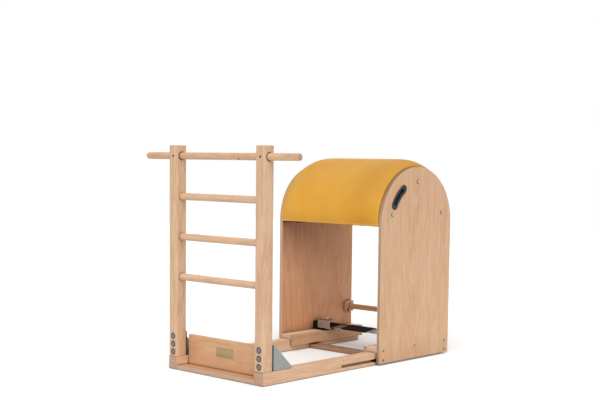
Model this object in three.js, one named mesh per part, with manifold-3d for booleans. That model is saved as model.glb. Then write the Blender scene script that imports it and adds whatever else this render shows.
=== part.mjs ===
// A pilates ladder barrel: a beech ladder stands at the front end of two floor rails,
// and a padded half-round barrel slides along them and locks with two drop pins.
// Millimetres. +X runs from the ladder to the barrel, +Y is the left side, +Z is up,
// and the origin is on the floor, under the middle of the whole length.

import * as THREE from "three";
import { mergeVertices } from "three/addons/utils/BufferGeometryUtils.js";
import Module from "manifold-3d";

const wasm = await Module();
wasm.setup();

// General clearances and small finishing sizes
const contactGap = 0.3;
const cutOverrun = 2;
const woodEase = 2;
const screwHoleClearance = 0.4;

// Floor rails
const railLength = 1248;
const railOuterWidth = 599.4;
const railWidth = 54.1;
const railHeight = 58.3;
const grooveHeight = 14;
const grooveCentreHeight = 23.5;
const grooveDepth = 12;
const grooveFront = 494;
const grooveEndWall = 8;

// Boards between the rails
const boardThickness = 19.8;
const stepBoardDepth = 100;
const kickBoardSetback = 67.9;
const kickBoardTop = 154;
const kickBoardThickness = 15;
const crossPlankFront = 870;
const crossPlankWidth = 65;
const namePlateWidth = 107.5;
const namePlateHeight = 42;
const namePlateThickness = 1;
const namePlateCentreY = 7.6;
const namePlateCentreZ = 96;
const namePlateCorner = 2;

// Ladder
const uprightDepth = 54;
const uprightRound = 5;
const rungDiameter = 31.4;
const rungSocketDepth = 26;
const topRungHeight = 953.2;
const postAboveTopRung = 46.8;
const topRungLength = 946;
const topRungEndRound = 5;
const topRungHoleDiameter = 34;
const topRungHoleRim = 39;
const topRungHoleRimDepth = 3;
const lowestRungHeight = 417;
const rungScrewDiameter = 6.5;
const rungScrewRecess = 0.8;

// Steel gussets behind the uprights, and the bolts through them
const gussetHeight = 110;
const gussetLength = 115;
const gussetSheet = 3;
const gussetPadThickness = 6.6;
const gussetPadInset = 5;
const gussetWidth = 47;
const gussetLift = 2;
const gussetTip = 3;
const boltDiameter = 10;
const boltHeadDiameter = 20;
const boltHeadThickness = 2.6;
const boltSocketDiameter = 8;
const boltSocketDepth = 1.8;
const washerDiameter = 29;
const washerThickness = 2;
const counterboreDepth = 5.2;
const nutDiameter = 17;
const nutThickness = 7;
const boltRowHeight = 79.5;
const boltPitch = 35.5;

// Barrel side panels
const panelOverhang = 10.1;
const panelLength = 527.1;
const panelThickness = 19.8;
const panelClearance = 3.8;
const panelBottom = 7.8;
const archCentreHeight = 649.5;
const panelEase = 1.2;
const archBoltRadius = 193.6;
const archBoltDiameter = 6;
const archBoltHeadDiameter = 13;
const archBoltHeadHeight = 3.4;
const archBoltGrip = 40;

// Hand slots in the side panels
const slotRadius = 193.5;
const slotWidth = 33;
const linerRimWidth = 38.4;
const linerRimThickness = 2.6;
const linerHoleWidth = 20;
const linerHoleEndInset = 11;

// Barrel shell, battens and pad
const shellThickness = 10;
const shellRadius = 246;
const battenThickness = 30;
const battenDepth = 80;
const padEdgeRadius = 271;
const padHemRadius = 266.6;
const padTopRadius = 298;
const padDrop = 8;
const padFlatWidth = 400;

// Runner boards, cheek boards and guide blocks that ride on the rails
const runnerThickness = 22.2;
const cheekThickness = 18;
const cheekClearance = 1.6;
const cheekBottom = 27;
const cheekTop = 80.5;
const guideLength = 95;
const guideHeight = 13;
const guideTipClearance = 2;
const guideFrontOverhang = 12;
const guideRearInset = 18.3;

// Rear bar across the barrel
const rearBarDiameter = 27.5;
const rearBarHeight = 178;
const rearBarInset = 33;
const rearBlockSize = 54;
const rearBlockThickness = 20;

// Barrel lock: black end blocks, folded steel housings and the release bar
const lockSetback = 230;
const lockDepth = 75;
const lockBlockWidth = 31.7;
const lockBlockHeight = 42;
const lockBaseThickness = 9.4;
const lockBaseReach = 46;
const housingReach = 77.5;
const housingSheet = 2.5;
const housingHeight = 40.3;
const housingLip = 14;
const housingMouthDepth = 25;
const housingSkewStart = 35;
const housingRound = 3.6;
const pivotSetback = 8.5;
const pivotRise = 21.2;
const pivotPinDiameter = 5;
const pivotPinBearing = 14;
const pivotPinReach = 65;
const runningGap = 0.4;
const barSheet = 3;
const barFrontReach = 5.4;
const barRearReach = 68;
const barKnuckleDiameter = 11;
const barKnuckleLength = 60;
const barEndClearance = 2.8;
const releaseTilt = 8.4;
const pinDiameter = 8;
const pinArm = 47.5;
const pinInset = 45.5;
const pinSlotClearance = 1.6;
const pinTipClearance = 1;
const pinTipRound = 1.5;
const pinHeadStand = 8.7;
const collarDiameter = 16;
const collarThickness = 2.5;
const springWire = 1.6;
const springDiameter = 12.4;

// Row of pin holes in each rail
const pinHolePitch = 50;
const pinHoleDepth = 12;

// Rubber grip on the release bar
const gripWidth = 158;
const gripCentreY = 35;
const gripWall = 1.5;
const gripEdgeWall = 2.2;
const gripRibHeight = 0.6;

// Counts and angles
const rungCount = 3;
const boltCount = 3;
const pinHoleCount = 5;
const gripRibCount = 12;
const archBoltAngles = [13.3, 90, 166.6];
const slotStartAngle = 123.5;
const slotEndAngle = 153.7;
const panelArcSteps = 36;
const slotArcSteps = 6;
const bendArcSteps = 4;
const cornerArcSteps = 2;
const padArcSteps = 32;
const springTurns = 4.5;
const springStepsPerTurn = 8;
const springSides = 5;
const roundSides = 24;
const boltSides = 16;
const smallSides = 12;

// Shares of the pad's crown along its flank, from the end of the flat to the side panel
const padStationShares = [0, 0.3, 0.55, 0.75, 0.9, 0.97, 1];
const padCrownPowerShare = 2.4;
const padHemBlendShare = 0.36;

// The pad bulges out past the panels, so its widest point gives the whole length
const archSetback = railLength + panelOverhang - panelLength / 2;
const padReach = widestPadReach();

// Places that follow from the sizes above
const overallLength = archSetback + padReach;
const frontX = -overallLength / 2;
const railRearX = frontX + railLength;
const railOuterY = railOuterWidth / 2;
const railInnerY = railOuterY - railWidth;
const railCentreY = (railOuterY + railInnerY) / 2;
const floorTop = railHeight + contactGap;
const uprightX = frontX + uprightDepth / 2;
const ladderHeight = topRungHeight + postAboveTopRung;
const rungPitch = (topRungHeight - lowestRungHeight) / rungCount;
const panelRearX = railRearX + panelOverhang;
const panelFrontX = panelRearX - panelLength;
const panelInnerY = railOuterY + panelClearance;
const panelOuterY = panelInnerY + panelThickness;
const archX = frontX + archSetback;
const archRadius = panelLength / 2;
const insideY = panelInnerY - contactGap;
const cheekOuterY = railInnerY - cheekClearance;
const cheekInnerY = cheekOuterY - cheekThickness;
const runnerTop = floorTop + runnerThickness;
const lockFrontX = panelFrontX + lockSetback;
const lockRearX = lockFrontX + lockDepth;
const pivotX = lockFrontX + pivotSetback;
const lockFloor = runnerTop + contactGap;
const pivotZ = lockFloor + pivotRise;
const pinX = pivotX + pinArm;
const pinY = insideY - pinInset;
const housingOuterY = insideY - lockBlockWidth - contactGap;
const housingInnerY = housingOuterY - housingReach;
const housingBottom = lockFloor + lockBaseThickness + contactGap;
const housingTop = housingBottom + housingHeight;
const tilt = THREE.MathUtils.degToRad(releaseTilt);

// Materials
function material(name, color, roughness, metalness = 0) {
  return new THREE.MeshStandardMaterial({ name, color, roughness, metalness });
}
const beech = material("beech", 0xd9b48c, 0.55);
const plywood = material("plywood", 0xd2ab82, 0.55);
const vinyl = material("vinyl", 0xdfa63c, 0.5);
const blackPlastic = material("black_plastic", 0x1b1b1c, 0.5);
const linerPlastic = material("liner_plastic", 0x3c4247, 0.45);
const gripRubber = material("grip_rubber", 0x202021, 0.75);
const zincSteel = material("zinc_steel", 0x9a9690, 0.4, 0.85);
const paintedSteel = material("painted_steel", 0x979a9c, 0.45, 0.4);
const darkSteel = material("dark_steel", 0x55565a, 0.4, 0.8);
const plateBrass = material("plate_brass", 0xa39a68, 0.4, 0.6);

// Closed solids from and to triangle meshes
function cleaned(geometry) {
  const bare = new THREE.BufferGeometry();
  bare.setAttribute("position", geometry.getAttribute("position").clone());
  bare.setIndex(geometry.index ? geometry.index.clone() : null);
  const merged = mergeVertices(bare);
  const kept = [];
  const index = merged.index.array;
  for (let i = 0; i < index.length; i += 3) {
    const [a, b, c] = [index[i], index[i + 1], index[i + 2]];
    if (a !== b && b !== c && c !== a) {
      kept.push(a, b, c);
    }
  }
  merged.setIndex(kept);
  return merged;
}

function toSolid(geometry) {
  const merged = cleaned(geometry);
  const vertProperties = new Float32Array(merged.getAttribute("position").array);
  const triVerts = new Uint32Array(merged.index.array);
  return new wasm.Manifold(new wasm.Mesh({ numProp: 3, vertProperties, triVerts }));
}

function toGeometry(solid) {
  const mesh = solid.getMesh();
  const geometry = new THREE.BufferGeometry();
  const places = new Float32Array(mesh.vertProperties);
  geometry.setAttribute("position", new THREE.BufferAttribute(places, 3));
  geometry.setIndex(new THREE.BufferAttribute(new Uint32Array(mesh.triVerts), 1));
  return geometry;
}

function cut(geometry, ...tools) {
  const whole = toSolid(geometry);
  return toGeometry(tools.reduce((solid, tool) => solid.subtract(toSolid(tool)), whole));
}

function join(...pieces) {
  return toGeometry(pieces.map(toSolid).reduce((whole, piece) => whole.add(piece)));
}

function mirroredY(geometry) {
  const copy = cleaned(geometry);
  copy.scale(1, -1, 1);
  const index = copy.index.array;
  for (let i = 0; i < index.length; i += 3) {
    [index[i], index[i + 1]] = [index[i + 1], index[i]];
  }
  return copy;
}

// Basic shapes, each given by its limits or placed by its middle
function block(x0, x1, y0, y1, z0, z1) {
  const geometry = new THREE.BoxGeometry(x1 - x0, y1 - y0, z1 - z0);
  return geometry.translate((x0 + x1) / 2, (y0 + y1) / 2, (z0 + z1) / 2);
}

function rodX(radius, x0, x1, y, z, sides = roundSides) {
  const geometry = new THREE.CylinderGeometry(radius, radius, x1 - x0, sides);
  return geometry.rotateZ(-Math.PI / 2).translate((x0 + x1) / 2, y, z);
}

function rodY(radius, x, y0, y1, z, sides = roundSides) {
  const geometry = new THREE.CylinderGeometry(radius, radius, y1 - y0, sides);
  return geometry.translate(x, (y0 + y1) / 2, z);
}

function rodZ(radius, x, y, z0, z1, sides = roundSides) {
  const geometry = new THREE.CylinderGeometry(radius, radius, z1 - z0, sides);
  return geometry.rotateX(Math.PI / 2).translate(x, y, (z0 + z1) / 2);
}

function easedOutline(x0, x1, y0, y1, ease) {
  const shape = new THREE.Shape();
  shape.moveTo(x0 + ease, y0);
  shape.lineTo(x1 - ease, y0);
  shape.lineTo(x1, y0 + ease);
  shape.lineTo(x1, y1 - ease);
  shape.lineTo(x1 - ease, y1);
  shape.lineTo(x0 + ease, y1);
  shape.lineTo(x0, y1 - ease);
  shape.lineTo(x0, y0 + ease);
  shape.closePath();
  return shape;
}

function roundedOutline(x0, x1, y0, y1, radius) {
  const shape = new THREE.Shape();
  shape.absarc(x1 - radius, y0 + radius, radius, -Math.PI / 2, 0);
  shape.absarc(x1 - radius, y1 - radius, radius, 0, Math.PI / 2);
  shape.absarc(x0 + radius, y1 - radius, radius, Math.PI / 2, Math.PI);
  shape.absarc(x0 + radius, y0 + radius, radius, Math.PI, 3 * Math.PI / 2);
  shape.closePath();
  return shape;
}

// Extrusion along Z; each arc of the outline is drawn with the given number of steps,
// which the extruder counts in pairs
function extrusion(shape, depth, arcSteps = 2, ease = 0) {
  return new THREE.ExtrudeGeometry(shape, {
    depth: depth - 2 * ease,
    steps: 1,
    curveSegments: arcSteps / 2,
    bevelEnabled: ease > 0,
    bevelSegments: 1,
    bevelThickness: ease,
    bevelSize: ease,
    bevelOffset: -ease,
  }).translate(0, 0, ease);
}

// An outline in Y and Z, drawn out along X
function alongX(shape, x0, x1, arcSteps, ease) {
  const turn = new THREE.Matrix4().makeBasis(
    new THREE.Vector3(0, 1, 0),
    new THREE.Vector3(0, 0, 1),
    new THREE.Vector3(1, 0, 0),
  );
  return extrusion(shape, x1 - x0, arcSteps, ease).applyMatrix4(turn).translate(x0, 0, 0);
}

// An outline in X and Z, drawn out along Y
function alongY(shape, y0, y1, arcSteps, ease) {
  return extrusion(shape, y1 - y0, arcSteps, ease).rotateX(Math.PI / 2).translate(0, y1, 0);
}

// An outline in X and Y, drawn out along Z
function alongZ(shape, z0, z1, arcSteps, ease) {
  return extrusion(shape, z1 - z0, arcSteps, ease).translate(0, 0, z0);
}

// A turned piece about Z from points of radius and height
function turned(points, sides) {
  const profile = points.map(([radius, height]) => new THREE.Vector2(radius, height));
  return new THREE.LatheGeometry(profile, sides).rotateX(Math.PI / 2);
}

// The model, and the two ways that a piece enters it
const model = new THREE.Group();

function add(name, geometry, finish, x = 0, y = 0, z = 0) {
  const mesh = new THREE.Mesh(cleaned(geometry), finish.clone());
  mesh.name = name;
  mesh.position.set(x, y, z);
  model.add(mesh);
  return mesh;
}

function addPair(name, leftGeometry, finish) {
  add(`${name}_left`, leftGeometry, finish);
  add(`${name}_right`, mirroredY(leftGeometry), finish);
}

// Floor rails: the groove for the guide blocks is closed at both ends, and the row of
// holes in the top takes the lock pins, the rearmost one with the barrel drawn right out
function buildRails() {
  const section = easedOutline(railInnerY, railOuterY, 0, railHeight, woodEase);
  const bar = alongX(section, frontX, railRearX);
  const groove = block(
    frontX + grooveFront, railRearX - grooveEndWall,
    railOuterY - grooveDepth, railOuterY + cutOverrun,
    grooveCentreHeight - grooveHeight / 2, grooveCentreHeight + grooveHeight / 2,
  );
  const radius = pinDiameter / 2 + screwHoleClearance;
  const floor = railHeight - pinHoleDepth;
  const above = railHeight + cutOverrun;
  const holes = [];
  for (let i = 0; i < pinHoleCount; i += 1) {
    holes.push(rodZ(radius, pinX - i * pinHolePitch, pinY, floor, above, smallSides));
  }
  addPair("base_rail", cut(bar, groove, ...holes), beech);
}

function buildBoards() {
  const reach = railInnerY - contactGap;
  const step = easedOutline(-reach, reach, 0, boardThickness, 0);
  add("front_step_board", alongX(step, 0, stepBoardDepth), plywood, frontX);
  const kickBottom = boardThickness + contactGap;
  const kick = easedOutline(-reach, reach, kickBottom, kickBoardTop, 0);
  const kickBoard = alongX(kick, 0, kickBoardThickness, cornerArcSteps, panelEase);
  add("kick_board", kickBoard, plywood, frontX + kickBoardSetback);
  const plank = easedOutline(0, crossPlankWidth, 0, boardThickness, woodEase);
  add("cross_plank", alongY(plank, -reach, reach), beech, frontX + crossPlankFront);
  const plate = easedOutline(
    -namePlateWidth / 2, namePlateWidth / 2,
    -namePlateHeight / 2, namePlateHeight / 2, namePlateCorner,
  );
  const bare = alongX(plate, 0, namePlateThickness);
  const plateX = frontX + kickBoardSetback - contactGap - namePlateThickness;
  add("name_plate", bare, plateBrass, plateX, namePlateCentreY, namePlateCentreZ);
}

// Heights of the bolts through each upright, from the lowest
function boltHeights() {
  return Array.from({ length: boltCount }, (_, i) => boltRowHeight + i * boltPitch);
}

// Hole for the top rung, widened to a rim at each face of the upright
function topRungHole() {
  const hole = topRungHoleDiameter / 2;
  const rim = topRungHoleRim / 2;
  const rimGrowth = cutOverrun * (rim - hole) / topRungHoleRimDepth;
  const past = railWidth / 2 + cutOverrun;
  const neck = railWidth / 2 - topRungHoleRimDepth;
  const profile = [
    [0, -past], [rim + rimGrowth, -past], [hole, -neck],
    [hole, neck], [rim + rimGrowth, past], [0, past],
  ];
  const tool = turned(profile, roundSides).rotateX(-Math.PI / 2);
  return tool.translate(uprightX, railCentreY, topRungHeight);
}

function buildUprights() {
  const rearX = frontX + uprightDepth;
  const section = roundedOutline(frontX, rearX, railInnerY, railOuterY, uprightRound);
  const post = alongZ(section, floorTop, ladderHeight, cornerArcSteps, woodEase);
  const tools = [topRungHole()];
  const socket = rungDiameter / 2 + contactGap;
  const socketEnd = railInnerY + rungSocketDepth;
  for (let i = 0; i < rungCount; i += 1) {
    const z = lowestRungHeight + i * rungPitch;
    tools.push(rodY(socket, uprightX, railInnerY - cutOverrun, socketEnd, z));
  }
  const ahead = frontX - cutOverrun;
  const counterbore = washerDiameter / 2 + screwHoleClearance;
  const shankHole = boltDiameter / 2 + screwHoleClearance;
  for (const z of boltHeights()) {
    tools.push(rodX(counterbore, ahead, frontX + counterboreDepth, railCentreY, z, boltSides));
    tools.push(rodX(shankHole, frontX, rearX + cutOverrun, railCentreY, z, smallSides));
  }
  const screwHole = rungScrewDiameter / 2 + contactGap;
  tools.push(rodX(screwHole, ahead, uprightX, railCentreY, topRungHeight, smallSides));
  addPair("upright", cut(post, ...tools), beech);
}

function buildRungs() {
  const half = topRungLength / 2;
  const radius = rungDiameter / 2;
  const ease = topRungEndRound;
  const knee = ease * (1 - Math.SQRT1_2);
  const profile = [
    [0, -half], [radius - ease, -half], [radius - knee, knee - half], [radius, ease - half],
    [radius, half - ease], [radius - knee, half - knee], [radius - ease, half], [0, half],
  ];
  const topRung = turned(profile, roundSides).rotateX(-Math.PI / 2);
  add("top_rung", topRung, beech, uprightX, 0, topRungHeight);
  const names = ["rung_lower", "rung_middle", "rung_upper"];
  const reach = railInnerY + rungSocketDepth - contactGap;
  for (let i = 0; i < rungCount; i += 1) {
    const z = lowestRungHeight + i * rungPitch;
    add(names[i] ?? `rung_extra_${i}`, rodY(radius, 0, -reach, reach, 0), beech, uprightX, 0, z);
  }
  const head = frontX + rungScrewRecess;
  const tip = uprightX - radius - contactGap;
  const screw = rodX(rungScrewDiameter / 2, head, tip, railCentreY, topRungHeight, smallSides);
  addPair("rung_screw", screw, darkSteel);
}

// Gusset: a folded sheet with a triangular cheek, a flange behind the upright that bears
// on it through a thick pad, and a flange on the rail
function buildGussets() {
  const backX = frontX + uprightDepth + contactGap;
  const flangeX = backX + gussetPadThickness;
  const bottom = floorTop + gussetLift;
  const outer = railOuterY - contactGap;
  const inner = outer - gussetWidth;
  const cheek = new THREE.Shape();
  cheek.moveTo(flangeX, bottom);
  cheek.lineTo(flangeX + gussetLength, bottom);
  cheek.lineTo(flangeX + gussetLength, bottom + gussetTip);
  cheek.lineTo(flangeX + gussetTip, bottom + gussetHeight);
  cheek.lineTo(flangeX, bottom + gussetHeight);
  cheek.closePath();
  const side = alongY(cheek, outer - gussetSheet, outer);
  const flangeTop = bottom + gussetHeight - gussetTip;
  const flange = block(flangeX, flangeX + gussetSheet, inner, outer, bottom, flangeTop);
  const padLimit = outer - gussetPadInset;
  const pad = block(
    backX, flangeX + gussetSheet / 2, inner + gussetPadInset, padLimit,
    bottom + gussetTip, flangeTop - gussetTip,
  );
  const foot = block(
    flangeX, flangeX + gussetLength - gussetPadInset, inner, outer - gussetSheet / 2,
    floorTop, floorTop + gussetSheet,
  );
  const holes = boltHeights().map((z) => rodX(
    boltDiameter / 2 + screwHoleClearance, backX - cutOverrun, flangeX + gussetSheet + cutOverrun,
    railCentreY, z, smallSides,
  ));
  addPair("gusset", cut(join(side, flange, pad, foot), ...holes), paintedSteel);
}

// Bolt with its washer and nut as one turned piece, along X from the head
function buildUprightBolts() {
  const head = counterboreDepth - washerThickness - boltHeadThickness - contactGap;
  const washerFront = head + boltHeadThickness;
  const washerBack = washerFront + washerThickness;
  const nutFront = uprightDepth + gussetPadThickness + gussetSheet + 2 * contactGap;
  const nutBack = nutFront + nutThickness;
  const profile = [
    [0, head + boltSocketDepth], [boltSocketDiameter / 2, head + boltSocketDepth],
    [boltSocketDiameter / 2, head], [boltHeadDiameter / 2, head],
    [boltHeadDiameter / 2, washerFront], [washerDiameter / 2, washerFront],
    [washerDiameter / 2, washerBack], [boltDiameter / 2, washerBack],
    [boltDiameter / 2, nutFront], [nutDiameter / 2, nutFront],
    [nutDiameter / 2, nutBack], [0, nutBack],
  ];
  const names = ["lower", "middle", "upper"];
  boltHeights().forEach((z, i) => {
    for (const [side, sign] of [["left", 1], ["right", -1]]) {
      const bolt = turned(profile, boltSides).rotateY(Math.PI / 2);
      const name = `upright_bolt_${names[i] ?? i}_${side}`;
      add(name, bolt, darkSteel, frontX, sign * railCentreY, z);
    }
  });
}

// Point at a radius and an angle in degrees about the arch centre
function archPoint(radius, degrees) {
  const angle = THREE.MathUtils.degToRad(degrees);
  return [archX + radius * Math.cos(angle), archCentreHeight + radius * Math.sin(angle)];
}

// Curved slot with round ends, following the arch; an inset shortens it at both ends
function slotOutline(width, endInset = 0) {
  const start = THREE.MathUtils.degToRad(slotStartAngle) + endInset / slotRadius;
  const end = THREE.MathUtils.degToRad(slotEndAngle) - endInset / slotRadius;
  const half = width / 2;
  const [endX, endZ] = archPoint(slotRadius, THREE.MathUtils.radToDeg(end));
  const [startX, startZ] = archPoint(slotRadius, THREE.MathUtils.radToDeg(start));
  const shape = new THREE.Shape();
  shape.absarc(archX, archCentreHeight, slotRadius + half, start, end, false);
  shape.absarc(endX, endZ, half, end, end + Math.PI, false);
  shape.absarc(archX, archCentreHeight, slotRadius - half, end, start, true);
  shape.absarc(startX, startZ, half, start - Math.PI, start, false);
  return shape;
}

function buildSidePanels() {
  const outline = new THREE.Shape();
  outline.moveTo(panelFrontX, panelBottom);
  outline.lineTo(panelRearX, panelBottom);
  outline.absarc(archX, archCentreHeight, archRadius, 0, Math.PI, false);
  outline.closePath();
  const board = alongY(outline, panelInnerY, panelOuterY, panelArcSteps, panelEase);
  const innerCut = panelInnerY - cutOverrun;
  const outerCut = panelOuterY + cutOverrun;
  const slot = alongY(slotOutline(slotWidth), innerCut, outerCut, slotArcSteps);
  const holes = archBoltAngles.map((degrees) => {
    const [x, z] = archPoint(archBoltRadius, degrees);
    return rodY(archBoltDiameter / 2 + screwHoleClearance, x, innerCut, outerCut, z, smallSides);
  });
  addPair("side_panel", cut(board, slot, ...holes), plywood);
}

function buildHandSlots() {
  const seat = panelOuterY + contactGap;
  const rimFront = seat + linerRimThickness;
  const rim = alongY(slotOutline(linerRimWidth), seat, rimFront, slotArcSteps);
  const sleeveOutline = slotOutline(slotWidth - 2 * contactGap);
  const sleeve = alongY(sleeveOutline, panelInnerY, rimFront, slotArcSteps);
  const holeOutline = slotOutline(linerHoleWidth, linerHoleEndInset);
  const hole = alongY(holeOutline, panelInnerY - cutOverrun, rimFront + cutOverrun, slotArcSteps);
  addPair("hand_slot_liner", cut(join(rim, sleeve), hole), linerPlastic);
}

function buildArchBolts() {
  const headRadius = archBoltHeadDiameter / 2;
  const seat = panelOuterY + contactGap;
  const profile = [
    [0, panelInnerY - archBoltGrip], [archBoltDiameter / 2, panelInnerY - archBoltGrip],
    [archBoltDiameter / 2, seat], [headRadius, seat],
    [headRadius * Math.cos(Math.PI / 6), seat + archBoltHeadHeight * Math.sin(Math.PI / 6)],
    [headRadius * Math.cos(Math.PI / 3), seat + archBoltHeadHeight * Math.sin(Math.PI / 3)],
    [0, seat + archBoltHeadHeight],
  ];
  const names = ["rear", "top", "front"];
  archBoltAngles.forEach((degrees, i) => {
    const [x, z] = archPoint(archBoltRadius, degrees);
    const bolt = turned(profile, smallSides).rotateX(-Math.PI / 2).translate(x, 0, z);
    addPair(`arch_bolt_${names[i] ?? i}`, bolt, zincSteel);
  });
}

function buildShell() {
  const inner = shellRadius - shellThickness;
  const shape = new THREE.Shape();
  const hem = padHemAngle();
  shape.absarc(archX, archCentreHeight, shellRadius, hem, Math.PI - hem, false);
  shape.absarc(archX, archCentreHeight, inner, Math.PI - hem, hem, true);
  add("barrel_shell", alongY(shape, -insideY, insideY, padArcSteps), plywood);
}

// Battens on edge under the shell, each centred on its two bolts and drilled for them
function buildBattens() {
  const names = ["rear", "top", "front"];
  const shellInner = shellRadius - shellThickness - contactGap;
  const outerEdge = Math.sqrt(shellInner ** 2 - (battenThickness / 2) ** 2);
  const half = battenThickness / 2;
  const section = easedOutline(outerEdge - battenDepth, outerEdge, -half, half, 0);
  const radius = archBoltDiameter / 2 + screwHoleClearance;
  const depth = panelInnerY - archBoltGrip - cutOverrun;
  const hole = rodY(radius, archBoltRadius, depth, insideY + cutOverrun, 0, smallSides);
  const board = cut(alongY(section, -insideY, insideY), hole, mirroredY(hole));
  archBoltAngles.forEach((degrees, i) => {
    const name = `barrel_batten_${names[i] ?? i}`;
    const batten = add(name, board, beech, archX, 0, archCentreHeight);
    batten.rotation.y = -THREE.MathUtils.degToRad(degrees);
  });
}

// Outer radius of the pad: tight at its hems and side edges, crowned in between.
// The flank is nought over the flat middle and 1 at the side panels.
function padRadius(angle, flank) {
  const climb = (Math.sin(angle) + padDrop / padHemRadius) / padHemBlendShare;
  const fullness = 1 - (1 - THREE.MathUtils.clamp(climb, 0, 1)) ** 2;
  const edge = padHemRadius + (padEdgeRadius - padHemRadius) * fullness;
  const crown = (1 - flank ** padCrownPowerShare) * (padTopRadius - padEdgeRadius);
  return edge + crown * fullness;
}

// Angles of the points round the pad, from its rear hem to its front hem
function padAngles() {
  const hem = padHemAngle();
  const sweep = Math.PI - 2 * hem;
  return Array.from({ length: padArcSteps + 1 }, (_, i) => hem + sweep * i / padArcSteps);
}

function padHemAngle() {
  return -Math.asin(padDrop / padHemRadius);
}

function widestPadReach() {
  return Math.max(...padAngles().map((angle) => padRadius(angle, 0) * Math.cos(angle)));
}

// Pad over the shell: one ring of points for each station across the barrel
function buildPad() {
  const flankWidth = insideY - padFlatWidth / 2;
  const leftHalf = padStationShares.map((share) => [padFlatWidth / 2 + share * flankWidth, share]);
  const rightHalf = leftHalf.map(([y, share]) => [-y, share]).reverse();
  const stations = [...rightHalf, ...leftHalf];
  const inner = shellRadius + contactGap;
  const angles = padAngles();
  const positions = [];
  const put = (radius, angle, y) => {
    positions.push(archX + radius * Math.cos(angle), y, archCentreHeight + radius * Math.sin(angle));
  };
  for (const [y, flank] of stations) {
    for (const angle of angles) {
      put(padRadius(angle, flank), angle, y);
    }
    for (const angle of [...angles].reverse()) {
      put(inner, angle, y);
    }
  }
  const ring = 2 * angles.length;
  const index = [];
  for (let s = 0; s < stations.length - 1; s += 1) {
    for (let i = 0; i < ring; i += 1) {
      const a = s * ring + i;
      const b = s * ring + (i + 1) % ring;
      index.push(a, a + ring, b, b, a + ring, b + ring);
    }
  }
  const last = (stations.length - 1) * ring;
  for (let i = 0; i < padArcSteps; i += 1) {
    const mate = ring - 1 - i;
    index.push(i, i + 1, mate, i + 1, mate - 1, mate);
    index.push(last + i, last + mate, last + i + 1, last + i + 1, last + mate, last + mate - 1);
  }
  const geometry = new THREE.BufferGeometry();
  geometry.setAttribute("position", new THREE.Float32BufferAttribute(positions, 3));
  geometry.setIndex(index);
  add("barrel_pad", geometry, vinyl);
}

function buildRunners() {
  const runnerInner = cheekOuterY + contactGap;
  const section = easedOutline(runnerInner, insideY, floorTop, runnerTop, 0);
  const board = alongX(section, panelFrontX, panelRearX);
  const radius = pinDiameter / 2 + runningGap;
  const hole = rodZ(radius, pinX, pinY, floorTop - cutOverrun, runnerTop + cutOverrun, smallSides);
  addPair("runner_board", cut(board, hole), beech);
  const cheek = easedOutline(cheekInnerY, cheekOuterY, cheekBottom, cheekTop, woodEase);
  addPair("cheek_board", alongX(cheek, panelFrontX, panelRearX), beech);
}

function buildGuideBlocks() {
  const tip = railOuterY - grooveDepth + guideTipClearance;
  const bottom = grooveCentreHeight - guideHeight / 2;
  const section = easedOutline(tip, insideY, bottom, bottom + guideHeight, 0);
  const shoe = alongX(section, 0, guideLength);
  const frontBlock = shoe.clone().translate(panelFrontX - guideFrontOverhang, 0, 0);
  const rearBlock = shoe.clone().translate(panelRearX - guideRearInset - guideLength, 0, 0);
  addPair("guide_block_front", frontBlock, blackPlastic);
  addPair("guide_block_rear", rearBlock, blackPlastic);
}

function buildRearBar() {
  const x = panelRearX - rearBarInset;
  const inner = insideY - rearBlockThickness;
  const radius = rearBarDiameter / 2;
  const half = rearBlockSize / 2;
  const low = rearBarHeight - half;
  const section = easedOutline(x - half, x + half, low, low + rearBlockSize, 0);
  const plate = alongY(section, inner, insideY, cornerArcSteps, panelEase);
  const past = insideY + cutOverrun;
  const hole = rodY(radius + contactGap, x, inner - cutOverrun, past, rearBarHeight);
  addPair("rear_bar_block", cut(plate, hole), beech);
  add("rear_bar", rodY(radius, 0, -insideY, insideY, 0), beech, x, 0, rearBarHeight);
}

// Lock block: a tall end against the side panel and a base under the housing
function buildLockBlocks() {
  const outer = insideY - lockBlockWidth;
  const blockTop = lockFloor + lockBlockHeight;
  const baseTop = lockFloor + lockBaseThickness;
  const end = block(lockFrontX, lockRearX, outer, insideY, lockFloor, blockTop);
  const base = block(
    lockFrontX, lockRearX, outer - lockBaseReach, outer + cutOverrun, lockFloor, baseTop,
  );
  const pinHole = rodZ(
    pinDiameter / 2 + runningGap, pinX, pinY,
    lockFloor - cutOverrun, baseTop + cutOverrun, smallSides,
  );
  const bearing = outer + pivotPinBearing + contactGap;
  const pivotHole = rodY(
    pivotPinDiameter / 2 + contactGap, pivotX, outer - cutOverrun, bearing, pivotZ, smallSides,
  );
  addPair("lock_block", cut(join(end, base), pinHole, pivotHole), blackPlastic);
}

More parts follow.
